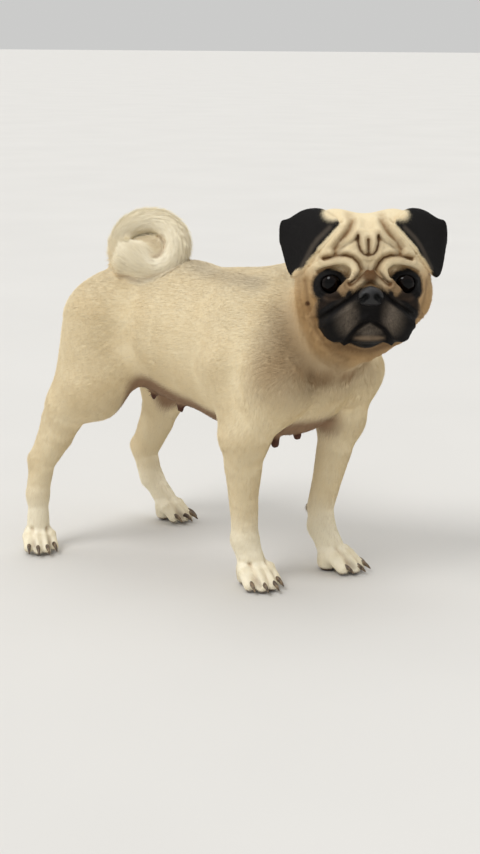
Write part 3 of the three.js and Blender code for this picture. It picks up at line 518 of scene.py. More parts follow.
def mouth(clay):
    """Philtrum and the line of the mouth, with the lower lip standing under it."""
    clay.carve(chain([(88, 0, -16, 1), (83, 0, -22, 1.2), (80, 0, -30, 1.5)]), 1.2)
    clay.add_pair(chain([(71, 0, -46, 2.6), (69.5, 8, -46.5, 2.6), (65, 14, -48, 2.2)]), 2)


# The comma of the left nostril: from its round hole out to the slit in the wing
NOSTRIL = [(88, 4.2, -8.2, 2.7), (83.9, 4.8, -9.4, 2.4), (83.4, 7.2, -11.8, 2.1), (79.6, 10, -12.8, 1.7)]


def nose_clay():
    """The nose leather alone, with comma nostrils and the groove between them."""
    clay = Clay()
    clay.add(ellipsoid(NOSE, NOSE_HALF), 1)
    clay.add_pair(ellipsoid(NOSE + (1, 5.4, -1), (6.4, 5.4, 6.8)), 3)
    clay.carve_pair(chain(NOSTRIL), 1.2)
    clay.carve(chain([(88.6, 0, -8, 1), (87.8, 0, -12, 1.2), (84.6, 0, -18, 1.3)]), 1)
    return clay


def ear_sheet(across=24, along=18):
    """The ear's middle sheet: up from its root to the crest, then folded forward over its cup."""
    root = [(18, 27, 46), (-2, 37, 48), (-18, 48, 33), (-6, 52, 12)]
    crest = [(26, 28, 55), (11, 40, 60.5), (-4, 57, 58), (-9, 70, 50)]
    edge = [(37, 25, 48), (37.5, 43, 28), (22, 64, 5), (-4, 74.5, 33)]

    def curve(stops, u):
        """A Catmull-Rom curve through four stops, evenly timed."""
        p = np.array(stops, float)
        p = np.vstack([2 * p[0] - p[1], p, 2 * p[-1] - p[-2]])
        at = min(int(u * 3), 2)
        t = u * 3 - at
        a, b, c, d = p[at : at + 4]
        return b + 0.5 * t * (c - a + t * (2 * a - 5 * b + 4 * c - d + t * (3 * (b - c) + d - a)))

    points = []
    for i in range(across + 1):
        u = i / across
        r, c, e = curve(root, u), curve(crest, u), curve(edge, u)
        knee = 2 * c - 0.5 * (r + e)
        for j in range(along + 1):
            v = j / along
            points.append(r * (1 - v) ** 2 + knee * 2 * v * (1 - v) + e * v * v)
    row = along + 1
    faces = [
        (i * row + j, i * row + j + 1, (i + 1) * row + j + 1, (i + 1) * row + j)
        for i in range(across)
        for j in range(along)
    ]
    return np.array(points), faces


class Ears:
    """Distance to both ear sheets, less half their thickness, in the head's frame."""

    MARGIN = 12
    SEARCH = 14.0

    def __init__(self):
        points, faces = ear_sheet()
        self.tree = BVHTree.FromPolygons([Vector(p) for p in points], faces)
        self.low = points.min(0) - self.MARGIN
        self.high = points.max(0) + self.MARGIN

    def __call__(self, points):
        half = folded(points)
        values = np.full(len(points), FAR)
        for i in np.flatnonzero(in_box(half, self.low, self.high)):
            distance = self.tree.find_nearest(half[i], self.SEARCH)[3]
            if distance is not None:
                values[i] = distance - EAR_THICK / 2
        return values


PAD_RADIUS = 4.2


def carpal_pad(name):
    """The stopper pad behind the wrist."""
    x, y, z, _ = LIMBS[name]["wrist"]
    return (x - 13, y - 4 * side_of(name), z - 3)


def body_clay():
    clay = Clay()
    torso_clay(clay)
    for name, limb in LIMBS.items():
        build = fore_limb if name.startswith("front") else hind_limb
        build(clay, side_of(name), limb)
        paw_clay(clay, PAWS[name], limb["foot"])
        if name.startswith("front"):
            clay.add(ball(carpal_pad(name), PAD_RADIUS), 2)
    neck_clay(clay)
    teats = add_teats(clay)
    clay.add(chain(TAIL_STOPS[:4]), 8)
    clay.add(chain(TAIL_STOPS[3:]), 1)
    clay.add(chain(TAIL_BUN), 1.5)
    return clay, teats


def head_clay():
    clay = Clay()
    head_form(clay)
    forehead_folds(clay)
    cheek(clay)
    nose_roll(clay)
    brow_and_eye(clay)
    mouth(clay)
    socket = ellipsoid(NOSE - (2.5, 0, 0), [half - 2.6 for half in NOSE_HALF])
    clay.add(socket, 1.5)
    return clay


# Soft folds of the trunk, on both sides: each line, how wide and how deep
BODY_FOLDS = [
    ([(70, 79, 160), (74, 79, 194), (79, 74, 233), (79, 61, 262)], 15, 1.8),
    ([(-63, 60, 180), (-66, 62, 212), (-72, 52, 252)], 16, 1.8),
    ([(112, 40, 272), (130, 44, 243), (142, 33, 220), (152, 12, 209), (153, 0, 207)], 8, 1.3),
    ([(118, 62, 228), (137, 58, 214), (143, 30, 200), (149, 0, 198)], 7, 0.8),
    ([(96, 76, 176), (112, 80, 196), (116, 74, 222)], 11, 1.2),
    ([(86, 68, 148), (76, 74, 138), (64, 68, 136)], 7, 1.2),
    ([(-118, 74, 168), (-140, 72, 158), (-152, 66, 150)], 10, 1.0),
]


def trunk_folds(points):
    """How far the soft folds of the trunk sink the skin."""
    half = folded(points)
    depth = np.zeros(len(points))
    for stops, width, sink in BODY_FOLDS:
        gap = chain([(*stop, 0) for stop in stops])(half) / width
        depth += sink * (np.exp(-gap * gap) - 0.3 * np.exp(-((gap - 2.2) ** 2)))
    return depth


BODY, TEAT_PLACES = body_clay()
HEAD = head_clay()
EARS = Ears()


def flesh(points):
    """The whole skin: the clay, less the depth of the coat."""
    local = to_head(points)
    close = (np.abs(local) < HEAD_REACH).all(1)
    values = BODY(points) + COAT_DEPTH
    surface = np.abs(values) < NEAR
    values[surface] += trunk_folds(points[surface])
    if close.any():
        near = local[close]
        face = HEAD(near) + mix(COAT_DEPTH, FACE_DEPTH, smooth(near[:, 0], 20, 50))
        whole = soft_min(values[close], face, HEAD_BLEND)
        root = smooth(near[:, 2], 40, 54) * (1 - smooth(np.abs(near[:, 1]), 36, 48))
        whole = soft_min(whole, EARS(near), mix(0.7, 5, root))
        front = (near[:, 0] > 8) & (np.abs(whole) < NEAR)
        whole[front] += pressed(near[front])
        values[close] = whole
    return values


# Where the grid is fine: two boxes on the left half of the head, for the face and the ear, and the paws
FINE_BOXES = [((26, -1, -62), (96, 60, 64)), ((-26, 20, 2), (96, 82, 74))]
FINE_BELOW = 30


def is_detailed(points):
    half = folded(to_head(points))
    fine = points[:, 2] < FINE_BELOW
    for low, high in FINE_BOXES:
        fine |= in_box(half, low, high)
    return fine


def lattice(counts, shift=0):
    """Every place in a grid of cells, one to a row."""
    return np.stack(np.meshgrid(*[np.arange(n) + shift for n in counts], indexing="ij"), -1).reshape(-1, 3)


def extract(field, low, high, step, is_fine):
    """Turns a field into a mesh of quads on a grid of two levels, one point to a cell."""
    low = np.array(low, float)
    half_step = step / 2
    cells = np.ceil((np.array(high) - low) / step).astype(int)
    coarse = field(low + lattice(cells + 1) * step).reshape(cells + 1)
    fine_cell = is_fine(low + lattice(cells, 0.5) * step).reshape(cells)

    # Fine values: the coarse ones spread out, then read again near the surface
    fine_shape = cells * 2 + 1
    value = np.repeat(np.repeat(np.repeat(coarse, 2, 0), 2, 1), 2, 2)
    value = value[: fine_shape[0], : fine_shape[1], : fine_shape[2]].copy()
    least = np.abs(coarse)[:-1, :-1, :-1]
    wanted = np.argwhere(fine_cell & (least < 3 * step))
    spots = (wanted[:, None, :] * 2 + lattice((3, 3, 3))).reshape(-1, 3)
    keys = np.unique(np.ravel_multi_index(spots.T, fine_shape))
    spots = np.stack(np.unravel_index(keys, fine_shape), 1)
    value.ravel()[keys] = field(low + spots * half_step)

    def cell_id(at):
        """The number of the cell that holds a fine cell, coarse or fine."""
        parent = at // 2
        is_small = fine_cell[parent[:, 0], parent[:, 1], parent[:, 2]]
        small = np.ravel_multi_index(at.T, cells * 2)
        big = np.ravel_multi_index(parent.T, cells) + np.prod(cells * 2)
        return np.where(is_small, small, big), is_small

    # Every edge of the grid that crosses the surface gives one quad, between the four cells round it
    quads, spots_of = [], []
    for axis in range(3):
        others = [a for a in range(3) if a != axis]
        for level, grid in ((2, coarse), (1, value)):
            first = np.take(grid, range(grid.shape[axis] - 1), axis)
            second = np.take(grid, range(1, grid.shape[axis]), axis)
            at = np.argwhere((first < 0) != (second < 0))
            within = np.ones(len(at), bool)
            for other in others:
                within &= (at[:, other] > 0) & (at[:, other] < grid.shape[other] - 1)
            at = at[within]
            a = grid[tuple(at.T)]
            after = at.copy()
            after[:, axis] += 1
            b = grid[tuple(after.T)]
            crossing = at.astype(float)
            crossing[:, axis] += a / (a - b)
            ids, smalls = [], []
            for du, dv in ((-1, -1), (0, -1), (0, 0), (-1, 0)):
                cell = at.copy()
                cell[:, others[0]] += du
                cell[:, others[1]] += dv
                found, small = cell_id(cell * level)
                ids.append(found)
                smalls.append(small)
            keep = np.any(smalls, 0) if level == 1 else ~np.any(smalls, 0)
            ids = np.stack(ids, 1)[keep]
            flip = (a[keep] < 0) == (axis == 1)
            ids[flip] = ids[flip][:, ::-1]
            quads.append(ids)
            spots_of.append(low + crossing[keep] * level * half_step)
    # A cell's point is the mean of the crossings on its edges
    quads = np.concatenate(quads)
    spots_of = np.concatenate(spots_of)
    names, index = np.unique(quads, return_inverse=True)
    index = index.reshape(quads.shape)
    count = np.bincount(index.ravel(), minlength=len(names))
    points = np.stack(
        [np.bincount(index.ravel(), np.repeat(spots_of[:, k], 4), len(names)) / count for k in range(3)], 1
    )
    return points, index


def clean_faces(index):
    """Quads as they are, and those that lost a corner to a coarse cell as triangles."""
    faces = []
    whole = np.ones(len(index), bool)
    for k in range(4):
        whole &= index[:, k] != index[:, (k + 1) % 4]
    faces += index[whole].tolist()
    for quad in index[~whole].tolist():
        ring = [v for k, v in enumerate(quad) if v != quad[k - 1]]
        if len(set(ring)) == len(ring) == 3:
            faces.append(ring)
    return faces


def gradient(field, points, step=0.05):
    slopes = [(field(points + offset) - field(points - offset)) / (2 * step) for offset in np.eye(3) * step]
    return np.stack(slopes, 1)


def neighbour_sum(values, edges):
    """For each point, the sum of the values at the far ends of its edges."""
    total = np.bincount(edges[:, 0], values[edges[:, 1]], len(values))
    return total + np.bincount(edges[:, 1], values[edges[:, 0]], len(values))


# How far a point may be set back at a time, and the least slope of a field that is believed
LONGEST_STEP = 1
LEAST_SLOPE = 0.4


def settle(field, points, edges, rounds):
    """Evens the mesh out along its surface and sets every point back on the field's zero."""
    count = np.bincount(edges.ravel(), minlength=len(points))[:, None]
    for turn in range(rounds + 1):
        if turn:
            total = np.stack([neighbour_sum(points[:, k], edges) for k in range(3)], 1)
            pull = total / np.maximum(count, 1) - points
            points = points + 0.5 * (pull - (pull * normals).sum(1)[:, None] * normals)
        slope = gradient(field, points)
        length = np.linalg.norm(slope, axis=1)[:, None] + 1e-6
        normals = slope / length
        height = field(points)[:, None] / np.maximum(length, LEAST_SLOPE)
        height = np.clip(height, -LONGEST_STEP, LONGEST_STEP)
        points = points - normals * height
    return points


# Meshes


def mesh_object(name, points, faces):
    """A new object from points in millimetres of the animal's axes."""
    mesh = bpy.data.meshes.new(name)
    mesh.from_pydata(((points + SHIFT) / 1000).tolist(), [], faces)
    mesh.polygons.foreach_set("use_smooth", [True] * len(mesh.polygons))
    mesh.update()
    piece = bpy.data.objects.new(name, mesh)
    bpy.context.scene.collection.objects.link(piece)
    return piece


def edge_pairs(faces):
    pairs = set()
    for face in faces:
        for k, v in enumerate(face):
            pairs.add((min(face[k - 1], v), max(face[k - 1], v)))
    return np.array(sorted(pairs))


def spread(values, edges, rounds):
    """Averages values over the mesh: each round takes in one more ring of neighbours."""
    values = np.array(values, float)
    count = np.bincount(edges.ravel(), minlength=len(values)) + 1
    for _ in range(rounds):
        values = (values + neighbour_sum(values, edges)) / count
    return values


def hollows(points, normals, radius):
    """How high the skin stands, on average, on a ring of this radius round each point."""
    across = unit(np.cross(normals, np.roll(normals, 1, axis=1) + (0.3, 0, 0)))
    upward = np.cross(normals, across)
    total = np.zeros(len(points))
    for turn in np.arange(6) * math.pi / 3:
        total -= flesh(points + radius * (math.cos(turn) * across + math.sin(turn) * upward))
    return total / 6


MEND_ROUNDS = 14


def mend(shell):
    """Fills every hole of a mesh. A hole that can't be filled as it is, is first made a little larger."""
    rim_count = 0
    for _ in range(MEND_ROUNDS):
        wires = [edge for edge in shell.edges if not edge.link_faces]
        bmesh.ops.delete(shell, geom=wires, context="EDGES")
        crowded = {vertex for edge in shell.edges if len(edge.link_faces) > 2 for vertex in edge.verts}
        rims = [edge for edge in shell.edges if len(edge.link_faces) == 1]
        if len(rims) == rim_count:
            crowded |= {vertex for edge in rims for vertex in edge.verts}
        if crowded:
            bmesh.ops.delete(shell, geom=list(crowded), context="VERTS")
        loose = [vertex for vertex in shell.verts if not vertex.link_faces]
        bmesh.ops.delete(shell, geom=loose, context="VERTS")
        rims = [edge for edge in shell.edges if len(edge.link_faces) == 1]
        if not rims:
            return
        rim_count = len(rims)
        bmesh.ops.holes_fill(shell, edges=rims, sides=0)
        bmesh.ops.triangulate(shell, faces=[face for face in shell.faces if len(face.verts) > 4])


def closed_mesh(points, faces, name):
    """Makes the object, mends the pinholes left where the grid changes its step, and turns it outward."""
    piece = mesh_object(name, points, faces)
    shell = bmesh.new()
    shell.from_mesh(piece.data)
    mend(shell)
    bmesh.ops.recalc_face_normals(shell, faces=shell.faces)
    shell.to_mesh(piece.data)
    shell.free()
    piece.data.polygons.foreach_set("use_smooth", [True] * len(piece.data.polygons))
    return piece


def read_points(mesh, kind="co"):
    """The places of the mesh's points, in metres, or their normals."""
    values = np.empty(len(mesh.vertices) * 3)
    mesh.vertices.foreach_get(kind, values)
    return values.reshape(-1, 3)


def set_values(mesh, name, values):
    """Writes a number, or a vector, for each point of the mesh."""
    values = np.asarray(values, np.float32)
    kind, key = ("FLOAT", "value") if values.ndim == 1 else ("FLOAT_VECTOR", "vector")
    mesh.attributes.new(name, kind, "POINT").data.foreach_set(key, values.ravel())


# Markings of the skin and coat, painted shade and highlights among them: every one a number from 0 to 1 on
# each point of the skin


def nearness(points, stops, inner, outer):
    """1 within `inner` of a line of stops, falling to 0 at `outer`."""
    line = chain([(*stop, 0) for stop in stops])
    return 1 - smooth(line(points), inner, outer)


def line_near(points, stops, inner, outer):
    """The same for a line of the face, seen from in front."""
    return 1 - smooth(line_gap(points, stops), inner, outer)


def inside(points, centre, half, edge):
    """1 deep inside an ellipsoid, 0 outside it, with a soft edge in millimetres."""
    return 1 - smooth(ellipsoid(centre, half)(points), -edge, edge)


def face_markings(local):
    """Mask and grizzle of the face, with painted shadow in its creases and painted highlights on the nose
    roll and ear folds, worked out on its left half and mirrored.
    """
    half = folded(local)
    flews = inside(half, (56, 26, -27), (31, 20.5, 36), 8)
    muzzle = inside(half, (60, 0, -35), (38, 31, 37), 8)
    around_eye = inside(half, (47, 32.5, -3), (24, 16.5, 15.5), 4)
    mask = np.max([flews, muzzle, around_eye], axis=0)
    brow = nearness(half, BROW_ROLL, 3.2, 5.6) * (1 - nearness(half, LID_CREASE, 0.5, 2.5))
    bridge = np.maximum(inside(half, (68, 0, 8), (14, 9, 9), 5), nearness(half, NOSE_ROLL[:3], 4.5, 8.5))
    bridge *= 1 - brow
    mask *= 1 - np.maximum(brow, bridge)
    # Painted shadow: a dark pit between the brows, thin dark lines along the deepest creases and fainter
    # ones along the shallow creases
    between_brows = inside(half, (68, 0, 12.5), (9, 6, 3.5), 3)
    folds = (CUP_CREASE, CENTRE_CREASE, BROW_CREASE)
    thin = [line_near(local, stops, 0.2, 1.9) for stops in folds]
    faint = [0.4 * line_near(local, stops, 0.3, 2.6) for stops in (ARC_CREASE, VALLEY, CHEEK_FOLD)]
    # Painted shade: a wide halo beside each crease
    wide = [line_near(local, stops, 1, 7) for stops in (*folds, VALLEY, CHEEK_FOLD)]
    # Painted shadow: black in the line of the mouth, under the lower lip and in the crease under the nose
    # roll
    seam_shadows = [line_near(local, line, 1, 3.4) for line in (MOUTH_LINE, UNDER_LIP, ROLL_CREASE)]
    jowl = inside(half, (30, 20, -66), (40, 30, 18), 10)
    return {
        "mask": mask,
        "crease_shadow_lines": np.max([*thin, between_brows, *faint], axis=0),
        "shade": np.max(wide, axis=0),
        "bridge": bridge,
        # Painted highlight along the crest of the nose roll, fading to each side
        "roll": nearness(half, NOSE_ROLL, 1.5, 8) * smooth(half[:, 0], 30, 42),
        "grizzle": inside(half, (74, 19, -28), (16, 8, 14), 8) * smooth(half[:, 1], 5, 13),
        "chin": inside(half, (70, 0, -38), (14, 11, 6.5), 3),
        "lip": inside(half, (70, 0, -46), (14, 13, 2.2), 2),
        # Painted shade: dark brown under the chin and lower jaw
        "chin_underside_shade": inside(half, (46, 0, -58), (34, 33, 14), 12),
        "seam_shadow": np.max(seam_shadows, axis=0),
        # Painted highlight: a soft grey line along the fold at the ear's front edge
        "slit": line_near(local, EAR_SLIT, 0.2, 3.4),
        # Painted shade: darker towards the bottom of the head, and on the cheeks and jowls, which are partly
        # honey tan themselves
        "lower_head_shade": 1 - smooth(half[:, 2], -24, 22),
        "cheek": inside(half, (26, 50, -24), (30, 18, 40), 14) + jowl,
        "mole": inside(local, (29, -52, -20), (3, 2.4, 2.4), 0.8),
    }


def tail_place(points):
    """Distance to the tail, its direction at the nearest of its stops, and how far along that one is."""
    stops = np.array(TAIL_STOPS)
    gaps = np.linalg.norm(points[:, None, :] - stops[None, :, :3], axis=2) - stops[:, 3]
    nearest = gaps.argmin(1)
    ahead = np.gradient(stops[:, :3], axis=0)
    return gaps.min(1), ahead[nearest], nearest / (len(stops) - 1)


def lie_of_coat(points, local, is_head, on_tail, tail_ahead, on_ear):
    """The way the hair points: back from the nose, down the limbs, and out along the tail."""
    x, y, z = points.T
    full = np.ones(len(x))
    away_from_nose = local - (84, 0, 4)
    to_ear_tip = np.stack([0.75 * full, 0.35 * np.sign(local[:, 1]), -0.6 * full], 1)
    ways = (
        (smooth(x, 60, 110) * smooth(-z, -250, -180), np.array([-0.2, 0, -1.0])),
        (1 - smooth(z, 120, 190), np.array([-0.25, 0, -1.0])),
        (1 - smooth(z, 16, 34), np.array([0.85, 0, -0.5])),
        (is_head, unit(away_from_nose) @ HEAD_AXES.T),
        (on_tail, unit(tail_ahead)),
        (on_ear, to_ear_tip @ HEAD_AXES.T),
    )
    lie = np.stack([-full, 0.15 * np.sign(y), -0.35 * full], 1)
    for amount, way in ways:
        lie = mix(lie, way, amount[:, None])
    return lie


# Brown damp fur across the chest, and the dusky trace beside the spine
CHEST_STAIN = [(136, -58, 216), (144, -34, 208), (150, -12, 206), (152, 6, 206)]
BACK_TRACE = [(-24, 1, 292), (18, -20, 293), (57, -34, 292), (76, -36, 290)]


def belly_mark(points):
    """The bare belly, and the bare skin between the forelegs."""
    x, y, z = points.T
    hem = 166 + 16 * smooth(-x, 0, 62) - 12 * smooth(x, 10, 60)
    belly = (1 - smooth(z, hem, hem + 14)) * smooth(z, 118, 140) * (1 - smooth(np.abs(y), 44, 58))
    belly *= smooth(x, -112, -96) * (1 - smooth(x, 58, 84))
    between_legs = inside(points, (98, -4, 150), (46, 44, 24), 9) * (1 - smooth(z, 158, 180))
    return np.maximum(belly, between_legs)


def teat_mark(points):
    teats = []
    for x, y, z, radius in TEAT_PLACES:
        teats.append(inside(points, (x, y, z - 1), (radius + 2, radius + 2, radius + 4), 1.5))
    return np.max(teats, axis=0)


def pad_mark(points):
    """The stopper pads and the soles, and painted shade in the clefts between the toes."""
    z = points[:, 2]
    pads = [1 - smooth(z, 2, 5)]
    for name in ("front_left", "front_right"):
        pads.append(0.8 - 0.8 * smooth(ball(carpal_pad(name), PAD_RADIUS)(points), -1.8, 1.4))
    # Painted shade in the clefts between the toes
    for paw in PAWS.values():
        for gap in toe_gaps(paw):
            pads.append(0.7 * nearness(points, gap, 1, 4.5) * (1 - smooth(z, 9, 18)))
    return np.max(pads, axis=0)


def mark_skin(mesh, points, normals, edges):
    """Writes the marks on the skin; returns them, the lie of the coat, and where head, tail and ears are."""
    local = to_head(points)
    height = BODY(points)
    head_value = HEAD(local)
    is_head = smooth(height - head_value, -14, 6) * (np.abs(local) < 120).all(1)
    on_ear = smooth(np.minimum(head_value, height) - EARS(local), 0.4, 3.5)
    gap, tail_ahead, tail_t = tail_place(points)
    on_tail = (1 - smooth(gap, 1, 6)) * smooth(tail_t, 0, 0.15)

    x, y, z = points.T
    # Painted shade on the neck and chest under the head, over their somewhat darker tan
    throat = smooth(x, 84, 124) * smooth(z, 176, 226) * (1 - smooth(z, 266, 292)) * (1 - smooth(y, 30, 64))
    ear_cover = inside(folded(local), (20, 24, 61), (16, 14.5, 12), 9)
    eye_gap = ball(EYE, EYE_RADIUS)(folded(local))
    marks = {name: values * is_head for name, values in face_markings(local).items()}
    marks |= {
        "pad": pad_mark(points),
        # Painted shade: sable in the small hollows of the skin, honey in the large ones
        "hollow_shade": smooth(spread(hollows(points, normals, 2.2), edges, 1), 0.05, 0.9),
        "fold_shade": smooth(hollows(points, normals, 6), 0.2, 3.0),
        "ear": on_ear * (1 - ear_cover),
        "belly": belly_mark(points) * (1 - is_head),
        "teat": teat_mark(points),
        # The pale lower legs and tail, brightened further as painted light: bounced from the floor onto the
        # paws, from above onto the tail
        "pale_and_bounce_lit": np.maximum(1 - smooth(z, 34, 90), on_tail),
        "throat": throat * (1 - 0.6 * is_head),
        "stain": nearness(points, CHEST_STAIN, 2, 13),
        "trace": nearness(points, BACK_TRACE, 4, 17),
        "back": smooth(normals[:, 2], 0.3, 0.95) * smooth(z, 240, 300) * (1 - is_head) * (1 - on_tail),
        "rim": (1 - smooth(eye_gap, 0.8, 3.4)) * smooth(local[:, 0], 44, 48),
    }
    for name, values in marks.items():
        set_values(mesh, name, np.clip(values, 0, 1))

    lie = lie_of_coat(points, local, is_head, on_tail, tail_ahead, on_ear)
    lie -= (lie * normals).sum(1)[:, None] * normals
    lie /= np.linalg.norm(lie, axis=1)[:, None] + 1e-6
    return marks, lie, is_head, on_tail, on_ear


# Materials: a small wrapper, so that shader maths reads as sums


def add_node(tree, kind, settings, values):
    """Adds a node to a tree. Values go to its sockets by number or name; a socket is linked."""
    made = tree.nodes.new(kind)
    for key, value in (settings or {}).items():
        setattr(made, key, value)
    for key, value in values.items():
        if isinstance(value, bpy.types.NodeSocket):
            tree.links.new(value, made.inputs[key])
        else:
            made.inputs[key].default_value = value
    return made


class Wire:
    """A socket that shader maths can be done on."""

    def __init__(self, board, socket):
        self.board = board
        self.socket = socket

    def _maths(self, operation, *values):
        return self.board.node("ShaderNodeMath", {"operation": operation}, values)

    def __add__(self, other):
        return self._maths("ADD", self, other)

    def __sub__(self, other):
        return self._maths("SUBTRACT", self, other)

    def __mul__(self, other):
        return self._maths("MULTIPLY", self, other)

    __radd__ = __add__
    __rmul__ = __mul__

    def __rsub__(self, other):
        return self._maths("SUBTRACT", other, self)

    def clip(self):
        return self._maths("MINIMUM", self._maths("MAXIMUM", self, 0.0), 1.0)

    def over(self, low, high):
        """0 below `low`, 1 above `high`."""
        settings = {"interpolation_type": "SMOOTHSTEP"}
        return self.board.node("ShaderNodeMapRange", settings, (self, float(low), float(high), 0.0, 1.0))


class Board:
    """One material's nodes."""

    def __init__(self, name, roughness, **constants):
        self.material = bpy.data.materials.new(name)
        self.material.use_nodes = True
        self.tree = self.material.node_tree
        self.shader = self.tree.nodes["Principled BSDF"]
        self.shader.inputs["Roughness"].default_value = roughness
        for socket, value in constants.items():
            self.shader.inputs[socket.replace("_", " ")].default_value = value

    def node(self, kind, settings=None, values=(), output=0):
        """Adds a node. Values go to its sockets in order, or by name from a dictionary."""
        given = values if isinstance(values, dict) else dict(enumerate(values))
        given = {key: value.socket if isinstance(value, Wire) else value for key, value in given.items()}
        return Wire(self, add_node(self.tree, kind, settings, given).outputs[output])

    def mark(self, name):
        return self.node("ShaderNodeAttribute", {"attribute_name": name}, output="Fac")

    def place(self, scale=(1, 1, 1)):
        where = self.node("ShaderNodeTexCoord", output="Object")
        return self.node("ShaderNodeMapping", values={"Vector": where, "Scale": scale})

    def noise(self, scale, detail=2.0, stretch=(1, 1, 1)):
        values = {"Vector": self.place(stretch), "Scale": float(scale), "Detail": detail}
        return self.node("ShaderNodeTexNoise", values=values)

    def blend(self, under, over, amount):
        """One colour over another; a colour is a wire or its red, green and blue."""
        under, over = [c if isinstance(c, Wire) else (*c, 1.0) for c in (under, over)]
        values = {0: amount, 6: under, 7: over}
        return self.node("ShaderNodeMix", {"data_type": "RGBA"}, values, output=2)

    def bump(self, height, depth, strength=1.0):
        values = {"Height": height, "Distance": depth, "Strength": strength}
        return self.node("ShaderNodeBump", values=values)

    def finish(self, **links):
        for socket, wire in links.items():
            self.tree.links.new(wire.socket, self.shader.inputs[socket.replace("_", " ")])
        return self.material


def shade(red, green, blue):
    """A colour as the eye reads it, 0 to 255, turned to the renderer's linear light."""
    parts = [part / 255 for part in (red, green, blue)]
    return tuple(part / 12.92 if part <= 0.04 else ((part + 0.055) / 1.055) ** 2.4 for part in parts)


# Colours of the coat, of its markings and of the bare skin, and of the shade and highlights painted on them
FAWN = shade(229, 209, 168)
CREAM = shade(250, 239, 209)
# Ivory: the pale lower legs and tail, brighter than their own colour as painted light
IVORY = shade(255, 247, 224)
# Honey: tan of the cheeks, and painted shade on the lower head, the cheeks and in the large hollows
HONEY = shade(196, 158, 106)
# Sable: the soft edge of the mask, the throat and the chest stain, and painted shade in hollows and beside
# creases
SABLE = shade(150, 120, 84)
SMOKE = shade(160, 146, 126)
BLACK_FUR = shade(12, 9, 8)
# Brown-grey painted highlight on the black roll over the nose
ROLL_HIGHLIGHT = shade(106, 82, 62)
# Dark brown: painted shadow in the creases and under the chin, and the mole's own colour
SHADE_AND_MOLE_BROWN = shade(74, 46, 24)
BRIDGE_FUR = shade(92, 60, 28)
# Grey: grizzled hair of the muzzle and chin, and the painted highlight along the ear's fold
GRIZZLE_AND_HIGHLIGHT_GREY = shade(142, 128, 112)
# Bare skin of the belly, darkened as painted shade under it
BARE_SKIN_AND_SHADE = shade(122, 84, 58)
TEAT_SKIN = shade(84, 54, 42)
LIP_SKIN = shade(118, 100, 80)
RIM_SKIN = shade(10, 8, 8)


def markings(board, tint):
    """The colour of coat and skin: fawn, with the black face and ears of the breed, and painted light and
    shade: shadow in creases and hollows, shade under the head, highlights on the nose roll and ear folds,
    and brighter paws and tail.
    """
    mark = board.mark
    patches = board.noise(26, 3.0)
    grain = board.noise(420, 2.0)
    mask = mark("mask") + (grain - 0.5) * 0.2 + (tint - 0.5) * 0.25
    dark_layers = (
        # Painted highlight on the nose roll
        (ROLL_HIGHLIGHT, mark("roll") * 0.75),
        (GRIZZLE_AND_HIGHLIGHT_GREY, (mark("grizzle") + mark("chin") * 0.8).clip() * (0.1 + tint * 0.6)),
        (LIP_SKIN, mark("lip") * 0.85),
        # Painted shadow in the mouth line and the creases of lip and roll
        (BLACK_FUR, mark("seam_shadow")),
    )
    dark = BLACK_FUR
    for colour, amount in dark_layers:
        dark = board.blend(dark, colour, amount)
    layers = (
        (CREAM, (patches * 0.9 + tint * 0.25 - 0.25).clip()),
        (SMOKE, mark("back") * (grain * 0.2 + patches * 0.25)),
        # The pale lower legs and tail, with painted light on them
        (IVORY, mark("pale_and_bounce_lit") * 0.9),
        # Painted shade: honey on the lower head; on the cheeks and jowls, part tan and part painted shade
        (HONEY, mark("lower_head_shade") * 0.3 + mark("cheek").clip() * 0.6),
        # Sable on the throat: partly darker tan, partly painted shade
        (SABLE, mark("throat") * 0.75),
        (SABLE, mark("stain") * patches.over(0.35, 0.6) * 0.8),
        (SMOKE, mark("trace") * 0.35),
        # Painted shade: honey in the large hollows
        (HONEY, mark("fold_shade") * 0.75),
        # Painted shade: sable in the small hollows and beside the creases
        (SABLE, (mark("hollow_shade") * 0.6 + mark("shade") * 0.4).clip()),
        # Painted shadow along the creases of the face
        (SHADE_AND_MOLE_BROWN, mark("crease_shadow_lines") * 0.85),
        (BRIDGE_FUR, mark("bridge") * 0.95),
        # Painted shade under the chin
        (SHADE_AND_MOLE_BROWN, mark("chin_underside_shade") * 0.75),
        (SABLE, mask.over(0.02, 0.4) * 0.8),
        (dark, mask.over(0.3, 0.8)),
        (BLACK_FUR, (mark("ear") + (tint - 0.5) * 0.3).over(0.2, 0.8)),
        # Painted highlight along the ear's fold
        (GRIZZLE_AND_HIGHLIGHT_GREY, mark("slit") * mark("ear") * 0.22),
        (SHADE_AND_MOLE_BROWN, mark("mole")),
        # Bare belly skin, with painted shade darkening it
        (BARE_SKIN_AND_SHADE, mark("belly") * 0.85),
        # Dark teats, pads and soles, and painted shade between the toes
        (TEAT_SKIN, (mark("teat") + mark("pad")).clip()),
        (RIM_SKIN, mark("rim").over(0.3, 0.7)),
    )
    fur = FAWN
    for colour, amount in layers:
        fur = board.blend(fur, colour, amount)
    return fur


def skin_material():
    board = Board("short_coat_skin", 0.78, Specular_IOR_Level=0.22)
    grain = board.noise(900, 2.0)
    colour = markings(board, grain)
    pits = board.bump(grain, 0.0006, 0.7)
    return board.finish(Base_Color=colour, Normal=pits)


def tuft_material():
    board = Board("coat_hairs", 0.75, Specular_IOR_Level=0.18)
    return board.finish(Base_Color=markings(board, board.mark("tint")))


